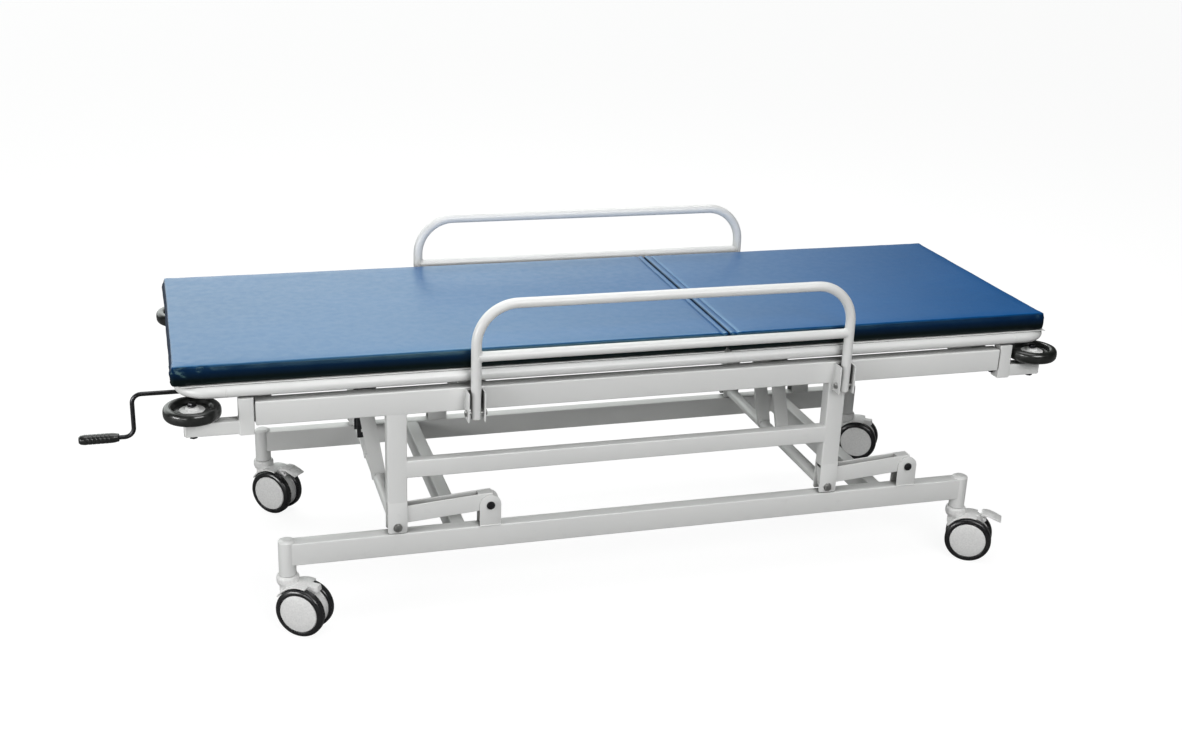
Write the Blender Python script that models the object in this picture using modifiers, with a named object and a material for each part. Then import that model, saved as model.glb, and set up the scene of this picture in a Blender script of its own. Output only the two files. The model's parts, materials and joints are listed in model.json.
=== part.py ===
"""Height-adjustable patient stretcher trolley, a Blender 4.5 model in metres, +Z up.

Origin: on the floor, under the middle of the whole trolley's box. +X runs to the head end, where
the backrest lifts. -Y is the near long side. Everything stands at the lowest bed height. The pieces
are laid out about the base frame's centre, and the last step moves them all to the origin.
"""
import math

import bmesh
import bpy
from mathutils import Matrix, Vector

# ---------------------------------------------------------------- driving dimensions (m)
GAP = 0.0003                 # between touching pieces
FLUSH = 0.0002               # a welded plate stands this far inside its neighbour's face
RUN = 0.0003                 # radial running clearance in every pivot

LAYOUT_SHIFT = (0.1015, 0.0091, -0.0075)   # from the layout's centre to the origin
FLOOR_Z = -LAYOUT_SHIFT[2]   # height of the floor in the layout

BASE_LENGTH = 1.552          # caster post to caster post
BASE_WIDTH = 0.595           # rail centre line to rail centre line
TUBE_HEIGHT = 0.050          # long tubes of the base and of the bed frame
TUBE_DEPTH = 0.032
RAIL_TOP = 0.207
POST_RADIUS = 0.018
POST_TOP = 0.2085
POST_BOTTOM = 0.133
STEM_RADIUS = 0.008
STEM_LENGTH = 0.028
CROSS_TUBE_WIDTH = 0.030
CROSS_TUBE_SETBACK = 0.064   # cross tube's centre, footward of each base pivot

SIDE_Y = BASE_WIDTH / 2
LEG_X = {"foot": -0.549, "head": 0.428}
LEG_WIDTH = 0.041
LEG_BOTTOM = 0.209
LEG_PIVOT_Z = 0.222
ARM_RUN = 0.1973             # leg pivot to base pivot at rest
ARM_RISE = 0.0325
ARM_HEIGHT = 0.038
ARM_DEPTH = 0.025
ARM_LIFT = {"leg": 0.0255, "base": 0.0080}   # arm centre line above its two pivots
BASE_PIVOT_Z = LEG_PIVOT_Z + ARM_RISE
PLATE_THICKNESS = 0.0032     # bracket plates and the walls of the leg forks
BRACKET_WIDTH = 0.046
TORQUE_RADIUS = 0.0135
BOSS_RADIUS = 0.0128
STUB_RADIUS = 0.009
SHAFT_RADIUS = 0.006
ARM_BOLT_RADIUS = 0.005

LEVER_LENGTH = 0.165
LEVER_LEAN = math.radians(9.35)
LEVER_Y = 0.060
LEVER_WIDTH = 0.032
LEVER_THICKNESS = 0.008
PIN_RADIUS = 0.006

BEAM_TOP = 0.525
BEAM_BOTTOM = BEAM_TOP - TUBE_HEIGHT
BEAM_ENDS = (-0.830, 0.828)
END_POST_WIDTH = 0.030
END_POST_BOTTOM = 0.456
BUMPER_ARM_SIZE = 0.028
BUMPER_ARM_Z = 0.473
BUMPER_X = (-0.947, 0.919)
BUMPER_ARM_OVERRUN = 0.018
BUMPER_Z = 0.509
BUMPER_RADIUS = 0.056
BUMPER_HEIGHT = 0.025
BUMPER_BOLT_RADIUS = 0.005
LOWER_BAR_TOP = 0.371
LOWER_BAR_HEIGHT = 0.038
LOWER_BAR_DEPTH = 0.025

BED_CENTRE_X = -0.0085
BED_HALF_LENGTH = 0.958      # to the bed tube's centre line
BED_TUBE_RADIUS = 0.0125
BED_TUBE_Z = 0.546
BED_CORNER = 0.055
MATTRESS_ENDS = (-0.996, 0.951)
DECK_ENDS = (-0.970, 0.945)
MATTRESS_HALF_WIDTH = 0.3095
MATTRESS_BOTTOM = 0.5613
MATTRESS_TOP = 0.601
DECK_TOP = 0.561
DECK_SHEET = 0.002
DECK_TUBE = 0.020
DECK_HALF_WIDTH = 0.300

SPLIT_X = 0.170              # backrest hinge
HINGE_Z = 0.5555
HINGE_RADIUS = 0.003
BACKREST_LIMIT = math.radians(75)
PROP_LENGTH = 0.300
RACK_SLOPE = math.radians(1.4)
RACK_Y = 0.120
RACK_ENDS = (0.290, 0.812)
RACK_NOTCHES = 9
PROP_ROD_RADIUS = 0.004
PROP_BAR_Y = 0.141
PROP_EYE_REACH = 0.0065      # short enough to turn under the deck
PROP_FOOT_REACH = 0.004

SCREW_Z = 0.437
SCREW_RADIUS = 0.008
SCREW_ENDS = (-0.870, -0.362)
BEARING_X = {"foot": -0.812, "head": -0.375}
CROSS_MEMBER_X = (BEARING_X["foot"], BEARING_X["head"], 0.305, 0.797)
YOKE_BOTTOM = 0.308
YOKE_SLOT = (0.320, 0.394)
CRANK_ROD_RADIUS = 0.0048
CRANK_ARM_X = -1.064
CRANK_THROW = 0.096
CRANK_BEND = 0.020
GRIP_ENDS = (-1.178, -1.095)
GRIP_RADIUS = 0.0112

RAIL_Y = 0.331               # side rails
RAIL_POSTS = (-0.390, 0.434)
RAIL_TUBE_RADIUS = 0.0107
RAIL_TUBE_TOP = 0.706
RAIL_BAR_Z = 0.596
RAIL_PIVOT_Z = 0.475
RAIL_CORNER = 0.085
RAIL_PIN_RADIUS = 0.004
CHANNEL_WIDTH = 0.037
CHANNEL_DEPTH = 0.0325
CHANNEL_PLATE = 0.003
CHANNEL_Z = (0.459, 0.522)

WHEEL_RADIUS = 0.0535        # caster heights below are above the floor
WHEEL_INNER = 0.0105         # inner face of each wheel, from the caster's middle
WHEEL_OUTER = 0.0315
TRAIL = 0.037
AXLE_RADIUS = 0.005
PEDAL_PIVOT = (0.066, 0.107)
PEDAL_PIN_RADIUS = 0.003
PEDAL_WIDTH = 0.036
HOUSING_BOTTOM = 0.108
BRAKED_CASTERS = ("foot_far", "head_near")
CASTER_TURN = {"foot_near": 33, "head_near": 33, "foot_far": 42, "head_far": 33}

SIDES = {"near": -1, "far": 1}
ENDS = {"foot": 0, "head": 1}
ROUND = 12                   # segments on pins and small round parts
FINE = 20                    # segments on wheels and bumpers


# ---------------------------------------------------------------- scene and materials
def clear_scene():
    for item in list(bpy.data.objects):
        bpy.data.objects.remove(item, do_unlink=True)


def make_collection(name):
    collection = bpy.data.collections.new(name)
    bpy.context.scene.collection.children.link(collection)
    return collection


def make_material(name, colour, roughness, metallic=0.0):
    material = bpy.data.materials.new(name)
    material.use_nodes = True
    shader = material.node_tree.nodes["Principled BSDF"]
    shader.inputs["Base Color"].default_value = (*colour, 1.0)
    shader.inputs["Roughness"].default_value = roughness
    shader.inputs["Metallic"].default_value = metallic
    material.diffuse_color = (*colour, 1.0)
    return material


clear_scene()
PARTS = make_collection("stretcher_trolley")
TOOLS = make_collection("construction")
WHITE = make_material("white_powder_coat", (0.72, 0.73, 0.71), 0.35)
ZINC = make_material("zinc_fasteners", (0.33, 0.33, 0.34), 0.4, 1.0)
STEEL = make_material("dark_steel", (0.10, 0.10, 0.11), 0.35, 0.8)
VINYL = make_material("blue_vinyl", (0.035, 0.13, 0.36), 0.3)
RUBBER = make_material("black_rubber", (0.015, 0.015, 0.015), 0.6)
PLASTIC = make_material("grey_plastic", (0.62, 0.62, 0.60), 0.4)


# ---------------------------------------------------------------- shape helpers
def place(name, mesh, material, parent=None, collection=None):
    part = bpy.data.objects.new(name, mesh)
    (collection or PARTS).objects.link(part)
    if material:
        mesh.materials.clear()
        mesh.materials.append(material)
    part.parent = parent
    return part


def as_tool(part):
    for collection in list(part.users_collection):
        collection.objects.unlink(part)
    TOOLS.objects.link(part)
    part.hide_render = True
    part.display_type = "WIRE"
    return part


def box(name, low, high, material=None, parent=None):
    """An axis-aligned box between two corners, with its origin at its centre."""
    low, high = Vector(low), Vector(high)
    size = high - low
    shape = bmesh.new()
    bmesh.ops.create_cube(shape, size=1.0, matrix=Matrix.Diagonal((*size, 1.0)))
    mesh = bpy.data.meshes.new(name)
    shape.to_mesh(mesh)
    shape.free()
    part = place(name, mesh, material, parent)
    part.location = (low + high) / 2
    return part


def rod(name, start, end, radius, material=None, parent=None, segments=ROUND, tip=1.0):
    """A solid cylinder, or a cone whose end is tip times its start, with its origin half way."""
    start, end = Vector(start), Vector(end)
    shape = bmesh.new()
    bmesh.ops.create_cone(shape, cap_ends=True, segments=segments, radius1=radius,
                          radius2=radius * tip, depth=(end - start).length)
    mesh = bpy.data.meshes.new(name)
    shape.to_mesh(mesh)
    shape.free()
    mesh.shade_smooth()
    mesh.set_sharp_from_angle(angle=math.radians(40))
    part = place(name, mesh, material, parent)
    part.location = (start + end) / 2
    part.rotation_euler = (end - start).to_track_quat("Z", "Y").to_euler()
    return part


def turned(name, profile, material=None, parent=None, segments=FINE, closed=False):
    """A turned solid about its own Z axis; the profile's (radius, height) run down its outside.

    An open profile starts and ends on the axis; a closed one makes a ring.
    """
    mesh = bpy.data.meshes.new(name)
    points = [(radius, 0.0, height) for radius, height in profile]
    edges = [(index, index + 1) for index in range(len(points) - 1)]
    if closed:
        edges.append((len(points) - 1, 0))
    mesh.from_pydata(points, edges, [])
    part = place(name, mesh, material, parent)
    screw = part.modifiers.new("Turn", "SCREW")
    screw.steps = segments
    screw.render_steps = segments
    screw.use_merge_vertices = True
    screw.merge_threshold = 0.00001
    screw.use_smooth_shade = False
    return part


def outline(name, points, thickness, material=None, parent=None):
    """A flat plate from a closed outline in X and Z, centred on its own Y = 0 plane."""
    curve = bpy.data.curves.new(name, "CURVE")
    curve.dimensions = "2D"
    curve.fill_mode = "BOTH"
    curve.extrude = thickness / 2
    spline = curve.splines.new("POLY")
    spline.points.add(len(points) - 1)
    for point, (x, z) in zip(spline.points, points):
        point.co = (x, z, 0.0, 1.0)
    spline.use_cyclic_u = True
    part = solid_from_curve(name, curve, material, parent)
    part.data.transform(Matrix.Rotation(math.radians(90), 4, "X"))
    return part


def rounded_strap(half, bottom, eye_z, steps=8):
    """Outline of an upright strap of half width half, from bottom up to a round eye at eye_z."""
    points = [(-half, bottom), (half, bottom)]
    for step in range(steps + 1):
        angle = math.pi * step / steps
        points.append((half * math.cos(angle), eye_z + half * math.sin(angle)))
    return points


def arc_band(outer, inner, start, end, steps=6):
    """Outline of a band between two radii, from one angle to another."""
    angles = [start + (end - start) * step / steps for step in range(steps + 1)]
    points = [(outer * math.cos(angle), outer * math.sin(angle)) for angle in angles]
    return points + [(inner * math.cos(angle), inner * math.sin(angle)) for angle in reversed(angles)]


def bent_tube(name, corners, radius, bends, material=None, cyclic=False, sides=12, steps=6):
    """A round bar through corners, each rounded by its bend radius (0 keeps a plain end)."""
    count = len(corners)
    path = []
    for index, corner in enumerate(corners):
        corner = Vector(corner)
        bend = bends[index]
        if bend == 0:
            path.append(corner)
            continue
        before = (Vector(corners[index - 1]) - corner).normalized()
        after = (Vector(corners[(index + 1) % count]) - corner).normalized()
        half = before.angle(after) / 2
        centre = corner + (before + after).normalized() * bend / math.sin(half)
        first = corner + before * bend / math.tan(half) - centre
        last = corner + after * bend / math.tan(half) - centre
        sweep = first.angle(last)
        axis = first.cross(last).normalized()
        for step in range(steps + 1):
            path.append(centre + Matrix.Rotation(sweep * step / steps, 3, axis) @ first)
    curve = bpy.data.curves.new(name, "CURVE")
    curve.dimensions = "3D"
    curve.twist_mode = "MINIMUM"
    curve.bevel_depth = radius
    curve.bevel_resolution = (sides - 4) // 4
    curve.use_fill_caps = not cyclic
    spline = curve.splines.new("POLY")
    spline.points.add(len(path) - 1)
    for point, place_at in zip(spline.points, path):
        point.co = (*place_at, 1.0)
    spline.use_cyclic_u = cyclic
    return solid_from_curve(name, curve, material)


def solid_from_curve(name, curve, material=None, parent=None):
    """The curve's surface as a welded mesh object; the curve itself is removed."""
    guide = bpy.data.objects.new(name + "_guide", curve)
    PARTS.objects.link(guide)
    bpy.context.view_layer.update()
    mesh = bpy.data.meshes.new_from_object(guide.evaluated_get(bpy.context.evaluated_depsgraph_get()))
    bpy.data.objects.remove(guide, do_unlink=True)
    shape = bmesh.new()
    shape.from_mesh(mesh)
    bmesh.ops.remove_doubles(shape, verts=shape.verts, dist=0.00001)
    bmesh.ops.recalc_face_normals(shape, faces=shape.faces)
    shape.to_mesh(mesh)
    shape.free()
    mesh.shade_smooth()
    mesh.set_sharp_from_angle(angle=math.radians(40))
    return place(name, mesh, material, parent)


def combine(part, others, operation):
    for other in others:
        as_tool(other)
        boolean = part.modifiers.new(operation.title(), "BOOLEAN")
        boolean.operation = operation
        boolean.solver = "EXACT"
        boolean.object = other


def weld(part, *others):
    combine(part, others, "UNION")
    return part


def cut(part, *others):
    combine(part, others, "DIFFERENCE")
    return part


def bolt(name, start, end, radius, head_radius, head_length):
    """A bolt with its head at start and its nut ending at end, both drawn as round collars."""
    start, end = Vector(start), Vector(end)
    length = (end - start).length
    profile = [(0.0, length), (head_radius, length), (head_radius, length - head_length),
               (radius, length - head_length), (radius, head_length), (head_radius, head_length),
               (head_radius, 0.0), (0.0, 0.0)]
    body = turned(name, profile, ZINC, segments=10)
    body.location = start
    body.rotation_euler = (end - start).to_track_quat("Z", "Y").to_euler()
    return body


def x_rod(name, y, z, low, high, radius, **options):
    return rod(name, (low, y, z), (high, y, z), radius, **options)


def y_rod(name, x, z, low, high, radius, **options):
    return rod(name, (x, low, z), (x, high, z), radius, **options)


def z_rod(name, x, y, low, high, radius, **options):
    return rod(name, (x, y, low), (x, y, high), radius, **options)


def base_pivot_x(end):
    return LEG_X[end] + ARM_RUN


# ---------------------------------------------------------------- base
def base_bracket(tag, end, side):
    """A clevis of two plates on the rail, rounded over the arm's pivot."""
    pivot_x = base_pivot_x(end)
    half = BRACKET_WIDTH / 2
    rail_y = side * SIDE_Y
    plates = []
    for wall in (-1, 1):
        outer = rail_y + wall * (TUBE_DEPTH / 2 - FLUSH)
        inner = rail_y + wall * (TUBE_DEPTH / 2 - PLATE_THICKNESS)
        low, high = sorted((outer, inner))
        plate = outline(f"plate_{tag}_{wall}", rounded_strap(half, RAIL_TOP - 0.004 - BASE_PIVOT_Z, 0.0),
                        high - low)
        plate.location = (pivot_x, (low + high) / 2, BASE_PIVOT_Z)
        plates.append(plate)
    return plates


def base_frame():
    half = BASE_LENGTH / 2
    rail_end = half + 0.003
    members = []
    cutters = []
    for side_name, side in SIDES.items():
        y = side * SIDE_Y
        if side_name == "far":
            members.append(box("rail_far", (-rail_end, y - TUBE_DEPTH / 2, RAIL_TOP - TUBE_HEIGHT),
                               (rail_end, y + TUBE_DEPTH / 2, RAIL_TOP)))
        for end, sign in (("foot", -1), ("head", 1)):
            tag = f"{end}_{side_name}"
            x = sign * half
            members.append(z_rod(f"post_{tag}", x, y, POST_BOTTOM, POST_TOP, POST_RADIUS, segments=16))
            members.append(rod(f"post_cap_{tag}", (x, y, POST_TOP - 0.001), (x, y, POST_TOP + 0.0045),
                               POST_RADIUS - 0.0005, segments=16, tip=0.6))
            members += base_bracket(tag, end, side)
            cutters.append(z_rod(f"stem_bore_{tag}", x, y, POST_BOTTOM - 0.01,
                                 POST_BOTTOM + STEM_LENGTH + GAP, STEM_RADIUS + RUN))
    for end in ENDS:
        x = base_pivot_x(end) - CROSS_TUBE_SETBACK
        half_width = CROSS_TUBE_WIDTH / 2
        members.append(box(f"cross_{end}", (x - half_width, -SIDE_Y, RAIL_TOP - TUBE_HEIGHT + 0.0006),
                           (x + half_width, SIDE_Y, RAIL_TOP - 0.0006)))
        cutters.append(y_rod(f"bolt_bore_{end}", base_pivot_x(end), BASE_PIVOT_Z, -0.4, 0.4,
                             ARM_BOLT_RADIUS + RUN))
    frame = box("base_frame", (-rail_end, -SIDE_Y - TUBE_DEPTH / 2, RAIL_TOP - TUBE_HEIGHT),
                (rail_end, -SIDE_Y + TUBE_DEPTH / 2, RAIL_TOP), WHITE)
    weld(frame, *members)
    cut(frame, *cutters)


def arm_bolts():
    for end in ENDS:
        for side_name, side in SIDES.items():
            outer = side * (SIDE_Y + TUBE_DEPTH / 2 + GAP)
            inner = side * (SIDE_Y - TUBE_DEPTH / 2 - GAP)
            x = base_pivot_x(end)
            bolt(f"arm_bolt_{end}_{side_name}", (x, outer + side * 0.006, BASE_PIVOT_Z),
                 (x, inner - side * 0.006, BASE_PIVOT_Z), ARM_BOLT_RADIUS, 0.009, 0.006)


# ---------------------------------------------------------------- lift arms and their drive
def lift_arm(end):
    """Two arms, their torque tube and two levers, welded into one swinging piece."""
    leg_x = LEG_X[end]
    base_x = base_pivot_x(end)
    members = []
    cutters = []
    centre_leg = Vector((leg_x, 0, LEG_PIVOT_Z + ARM_LIFT["leg"]))
    centre_base = Vector((base_x, 0, BASE_PIVOT_Z + ARM_LIFT["base"]))
    slope = (centre_base - centre_leg).normalized()
    for side_name, side in SIDES.items():
        y = side * SIDE_Y
        length = (centre_base - centre_leg).length
        arm = box(f"arm_{end}_{side_name}", (-0.016, -ARM_DEPTH / 2, -ARM_HEIGHT / 2),
                  (length + 0.006, ARM_DEPTH / 2, ARM_HEIGHT / 2))
        middle = centre_leg + slope * (length - 0.010) / 2
        arm.location = (middle.x, y, middle.z)
        arm.rotation_euler = (0.0, -math.atan2(slope.z, slope.x), 0.0)
        members.append(arm)
        members.append(y_rod(f"boss_{end}_{side_name}", leg_x, LEG_PIVOT_Z, y - ARM_DEPTH / 2,
                             y + ARM_DEPTH / 2, BOSS_RADIUS))
        cutters.append(y_rod(f"arm_bore_{end}_{side_name}", base_x, BASE_PIVOT_Z, y - 0.03, y + 0.03,
                             ARM_BOLT_RADIUS + RUN))
    inner = SIDE_Y - TUBE_DEPTH / 2 - 2 * GAP
    members.append(y_rod(f"stub_{end}", leg_x, LEG_PIVOT_Z, -SIDE_Y, SIDE_Y, STUB_RADIUS,
                         segments=FINE))
    members.append(y_rod(f"torque_{end}", leg_x, LEG_PIVOT_Z, -inner, inner, TORQUE_RADIUS, segments=16))
    pin = lever_pin_place(end)
    for side_name, side in SIDES.items():
        y = side * LEVER_Y
        plate = outline(f"lever_{end}_{side_name}", rounded_strap(LEVER_WIDTH / 2, 0.0, LEVER_LENGTH),
                        LEVER_THICKNESS)
        plate.location = (leg_x, y, LEG_PIVOT_Z)
        plate.rotation_euler = (0.0, -LEVER_LEAN, 0.0)
        members.append(plate)
    cutters.append(y_rod(f"shaft_bore_{end}", leg_x, LEG_PIVOT_Z, -0.4, 0.4, SHAFT_RADIUS + RUN))
    cutters.append(y_rod(f"pin_bore_{end}", pin.x, pin.z, -0.1, 0.1, PIN_RADIUS + RUN))
    name = f"lift_arm_{end}"
    body = members.pop(0)
    body.name = name
    body.data.materials.append(WHITE)
    weld(body, *members)
    cut(body, *cutters)
    outer = SIDE_Y + TUBE_DEPTH / 2 + GAP + 0.006
    bolt(f"leg_shaft_{end}", (leg_x, -outer, LEG_PIVOT_Z), (leg_x, outer, LEG_PIVOT_Z),
         SHAFT_RADIUS, 0.0095, 0.006)
    reach = LEVER_Y + LEVER_THICKNESS / 2 + GAP + 0.004
    bolt(f"lever_pin_{end}", (pin.x, -reach, pin.z), (pin.x, reach, pin.z), PIN_RADIUS, 0.0095, 0.004)


def lever_pin_place(end):
    return Vector((LEG_X[end] - LEVER_LENGTH * math.sin(LEVER_LEAN), 0.0,
                   LEG_PIVOT_Z + LEVER_LENGTH * math.cos(LEVER_LEAN)))


def tie_bar():
    foot, head = lever_pin_place("foot"), lever_pin_place("head")
    bar = box("tie_bar", (foot.x - 0.020, -0.010, foot.z - 0.015), (head.x + 0.020, 0.010, foot.z + 0.015),
              WHITE)
    cut(bar, *(y_rod(f"tie_bore_{end}", pin.x, pin.z, -0.05, 0.05, PIN_RADIUS + RUN)
               for end, pin in (("foot", foot), ("head", head))))


def screw_drive():
    """Lead screw with its two bearings, and the nut whose slotted yoke drives the lever pin."""
    start, end = SCREW_ENDS
    collar = x_rod("lead_screw", 0.0, SCREW_Z, start, start + 0.041, 0.0115, material=STEEL)
    weld(collar, x_rod("screw_body", 0.0, SCREW_Z, start + 0.035, end, SCREW_RADIUS))
    cut(collar, x_rod("crank_socket", 0.0, SCREW_Z, start - 0.010, start + 0.028, CRANK_ROD_RADIUS + RUN))
    for side, x in BEARING_X.items():
        name = f"screw_bearing_{side}"
        bearing = box(name, (x - 0.010, -0.022, SCREW_Z - 0.020), (x + 0.010, 0.022, BEAM_BOTTOM + 0.0047),
                      ZINC)
        cut(bearing, x_rod(name + "_bore", 0.0, SCREW_Z, x - 0.05, x + 0.05, SCREW_RADIUS + RUN))
    pin = lever_pin_place("foot")
    slot_middle = pin.x + 0.0040
    nut = box("drive_nut", (slot_middle - 0.024, -0.0265, SCREW_Z - 0.017),
              (slot_middle + 0.024, 0.0265, SCREW_Z + 0.017), STEEL)
    cutters = [x_rod("nut_bore", 0.0, SCREW_Z, -0.7, -0.4, SCREW_RADIUS + RUN)]
    for side_name, side in SIDES.items():
        low, high = sorted((side * 0.0215, side * 0.0265))
        plate = box(f"yoke_{side_name}", (slot_middle - 0.0195, low, YOKE_BOTTOM),
                    (slot_middle + 0.0195, high, SCREW_Z - 0.010))
        weld(nut, plate)
    half_slot = PIN_RADIUS + 0.0048
    cutters.append(box("yoke_slot", (slot_middle - half_slot, -0.04, YOKE_SLOT[0]),
                       (slot_middle + half_slot, 0.04, YOKE_SLOT[1])))
    cut(nut, *cutters)


def crank():
    top = (SCREW_ENDS[0] + 0.027, 0.0, SCREW_Z)
    low_z = SCREW_Z - CRANK_THROW
    bent_tube("crank_arm", [top, (CRANK_ARM_X, 0.0, SCREW_Z), (CRANK_ARM_X, 0.0, low_z),
                            (GRIP_ENDS[0] + 0.006, 0.0, low_z)],
              CRANK_ROD_RADIUS, [0, CRANK_BEND, CRANK_BEND, 0], STEEL)
    length = GRIP_ENDS[1] - GRIP_ENDS[0]
    bore = CRANK_ROD_RADIUS + RUN
    grip = turned("crank_grip", [(0.0, 0.004), (bore, 0.004), (bore, length), (0.0085, length),
                                 (GRIP_RADIUS, length - 0.008), (GRIP_RADIUS, 0.006), (0.008, 0.0),
                                 (0.0, 0.0)], RUBBER, segments=16)
    grip.location = (GRIP_ENDS[0], 0.0, low_z)
    grip.rotation_euler = (0.0, math.radians(90), 0.0)


# ---------------------------------------------------------------- bed frame
def rail_channel(tag, x, side):
    """Two cheek plates and a short back plate that hold one foot of a side rail."""
    face = side * (SIDE_Y + TUBE_DEPTH / 2)
    front = side * (SIDE_Y + TUBE_DEPTH / 2 + CHANNEL_DEPTH)
    sunk = face - side * 0.004
    low, high = sorted((sunk, front))
    parts = []
    for wall in (-1, 1):
        outer = x + wall * CHANNEL_WIDTH / 2
        inner = outer - wall * CHANNEL_PLATE
        left, right = sorted((outer, inner))
        parts.append(box(f"cheek_{tag}_{wall}", (left, low, CHANNEL_Z[0]), (right, high, CHANNEL_Z[1])))
    back_low, back_high = sorted((sunk, face + side * CHANNEL_PLATE))
    parts.append(box(f"back_{tag}", (x - CHANNEL_WIDTH / 2 + 0.001, back_low, 0.500),
                     (x + CHANNEL_WIDTH / 2 - 0.001, back_high, CHANNEL_Z[1] - 0.0005)))
    return parts


def leg(tag, x, side):
    y = side * SIDE_Y
    return box(f"leg_{tag}", (x - LEG_WIDTH / 2, y - TUBE_DEPTH / 2, LEG_BOTTOM),
               (x + LEG_WIDTH / 2, y + TUBE_DEPTH / 2, BEAM_BOTTOM + 0.01))


def upper_frame():
    members = []
    cutters = []
    slot_half = ARM_DEPTH / 2 + GAP
    for side_name, side in SIDES.items():
        y = side * SIDE_Y
        if side_name == "far":
            members.append(box("beam_far", (BEAM_ENDS[0], y - TUBE_DEPTH / 2, BEAM_BOTTOM),
                               (BEAM_ENDS[1], y + TUBE_DEPTH / 2, BEAM_TOP)))
        bar_face = y + side * TUBE_DEPTH / 2
        low, high = sorted((bar_face - side * 0.0004, bar_face - side * LOWER_BAR_DEPTH))
        members.append(box(f"lower_bar_{side_name}", (LEG_X["foot"], low, LOWER_BAR_TOP - LOWER_BAR_HEIGHT),
                           (LEG_X["head"], high, LOWER_BAR_TOP)))
        for end, index in ENDS.items():
            tag = f"{end}_{side_name}"
            outward = -1 if end == "foot" else 1
            members.append(leg(tag, LEG_X[end], side))
            cutters.append(box(f"fork_{tag}", (LEG_X[end] - 0.05, y - slot_half, LEG_BOTTOM - 0.01),
                               (LEG_X[end] + 0.05, y + slot_half, LEG_PIVOT_Z + 0.052)))
            wall = side * (SIDE_Y - TUBE_DEPTH / 2)
            cutters.append(y_rod(f"stub_bore_{tag}", LEG_X[end], LEG_PIVOT_Z, wall - 0.006, wall + 0.006,
                                 STUB_RADIUS + RUN, segments=FINE))
            beam_end = BEAM_ENDS[index]
            post_low, post_high = sorted((beam_end - outward * 0.004, beam_end + outward * END_POST_WIDTH))
            members.append(box(f"end_post_{tag}", (post_low, y - 0.015, END_POST_BOTTOM),
                               (post_high, y + 0.015, BED_TUBE_Z - BED_TUBE_RADIUS - GAP)))
            bumper_x = BUMPER_X[index]
            arm_end = bumper_x + outward * BUMPER_ARM_OVERRUN
            arm_low, arm_high = sorted((beam_end + outward * 0.005, arm_end))
            half = BUMPER_ARM_SIZE / 2
            members.append(box(f"bumper_arm_{tag}", (arm_low, y - half, BUMPER_ARM_Z - half),
                               (arm_high, y + half, BUMPER_ARM_Z + half)))
            cutters.append(z_rod(f"bumper_bore_{tag}", bumper_x, y, 0.44, 0.50, BUMPER_BOLT_RADIUS + RUN))
            members += rail_channel(tag, RAIL_POSTS[index], side)
            cutters.append(x_rod(f"rail_bore_{tag}", side * RAIL_Y, RAIL_PIVOT_Z, RAIL_POSTS[index] - 0.04,
                                 RAIL_POSTS[index] + 0.04, RAIL_PIN_RADIUS + RUN))
    for index, x in enumerate(CROSS_MEMBER_X):
        members.append(box(f"cross_member_{index}", (x - 0.020, -SIDE_Y, 0.480),
                           (x + 0.020, SIDE_Y, 0.520)))
    for end in ENDS:
        cutters.append(y_rod(f"leg_bore_{end}", LEG_X[end], LEG_PIVOT_Z, -0.4, 0.4, SHAFT_RADIUS + RUN))
    frame = box("upper_frame", (BEAM_ENDS[0], -SIDE_Y - TUBE_DEPTH / 2, BEAM_BOTTOM),
                (BEAM_ENDS[1], -SIDE_Y + TUBE_DEPTH / 2, BEAM_TOP), WHITE)
    weld(frame, *members)
    cut(frame, *cutters)


def bed_tube():
    left, right = BED_CENTRE_X - BED_HALF_LENGTH, BED_CENTRE_X + BED_HALF_LENGTH
    corners = [(left, -SIDE_Y, BED_TUBE_Z), (right, -SIDE_Y, BED_TUBE_Z),
               (right, SIDE_Y, BED_TUBE_Z), (left, SIDE_Y, BED_TUBE_Z)]
    bent_tube("bed_tube", corners, BED_TUBE_RADIUS, [BED_CORNER] * 4, WHITE, cyclic=True)


def bumpers():
    for end, index in ENDS.items():
        for side_name, side in SIDES.items():
            x, y = BUMPER_X[index], side * SIDE_Y
            half = BUMPER_HEIGHT / 2
            rim = BUMPER_RADIUS
            bore = BUMPER_BOLT_RADIUS + RUN
            profile = [(bore, half * 0.7), (rim * 0.68, half * 0.3), (rim * 0.78, half),
                       (rim * 0.94, half), (rim, half * 0.4)]
            profile = profile + [(radius, -height) for radius, height in reversed(profile)]
            bumper = turned(f"bumper_{end}_{side_name}", profile, RUBBER, segments=18, closed=True)
            bumper.location = (x, y, BUMPER_Z)
            arm_bottom = BUMPER_ARM_Z - BUMPER_ARM_SIZE / 2
            bolt(f"bumper_bolt_{end}_{side_name}", (x, y, arm_bottom - GAP - 0.006),
                 (x, y, BUMPER_Z + half + 0.006), BUMPER_BOLT_RADIUS, 0.009, 0.006)


# ---------------------------------------------------------------- decks, backrest and its prop
def hinge_lug(name, y, reach):
    """An eye around the backrest hinge, reaching to its deck's end tube on one side."""
    low, high = sorted((SPLIT_X, SPLIT_X + reach))
    arm = box(name, (low, y - 0.004, HINGE_Z - 0.0050), (high, y + 0.004, HINGE_Z + 0.0045))
    eye = y_rod(name + "_eye", SPLIT_X, HINGE_Z, y - 0.004, y + 0.004, 0.0052)
    return [arm, eye]


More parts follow.
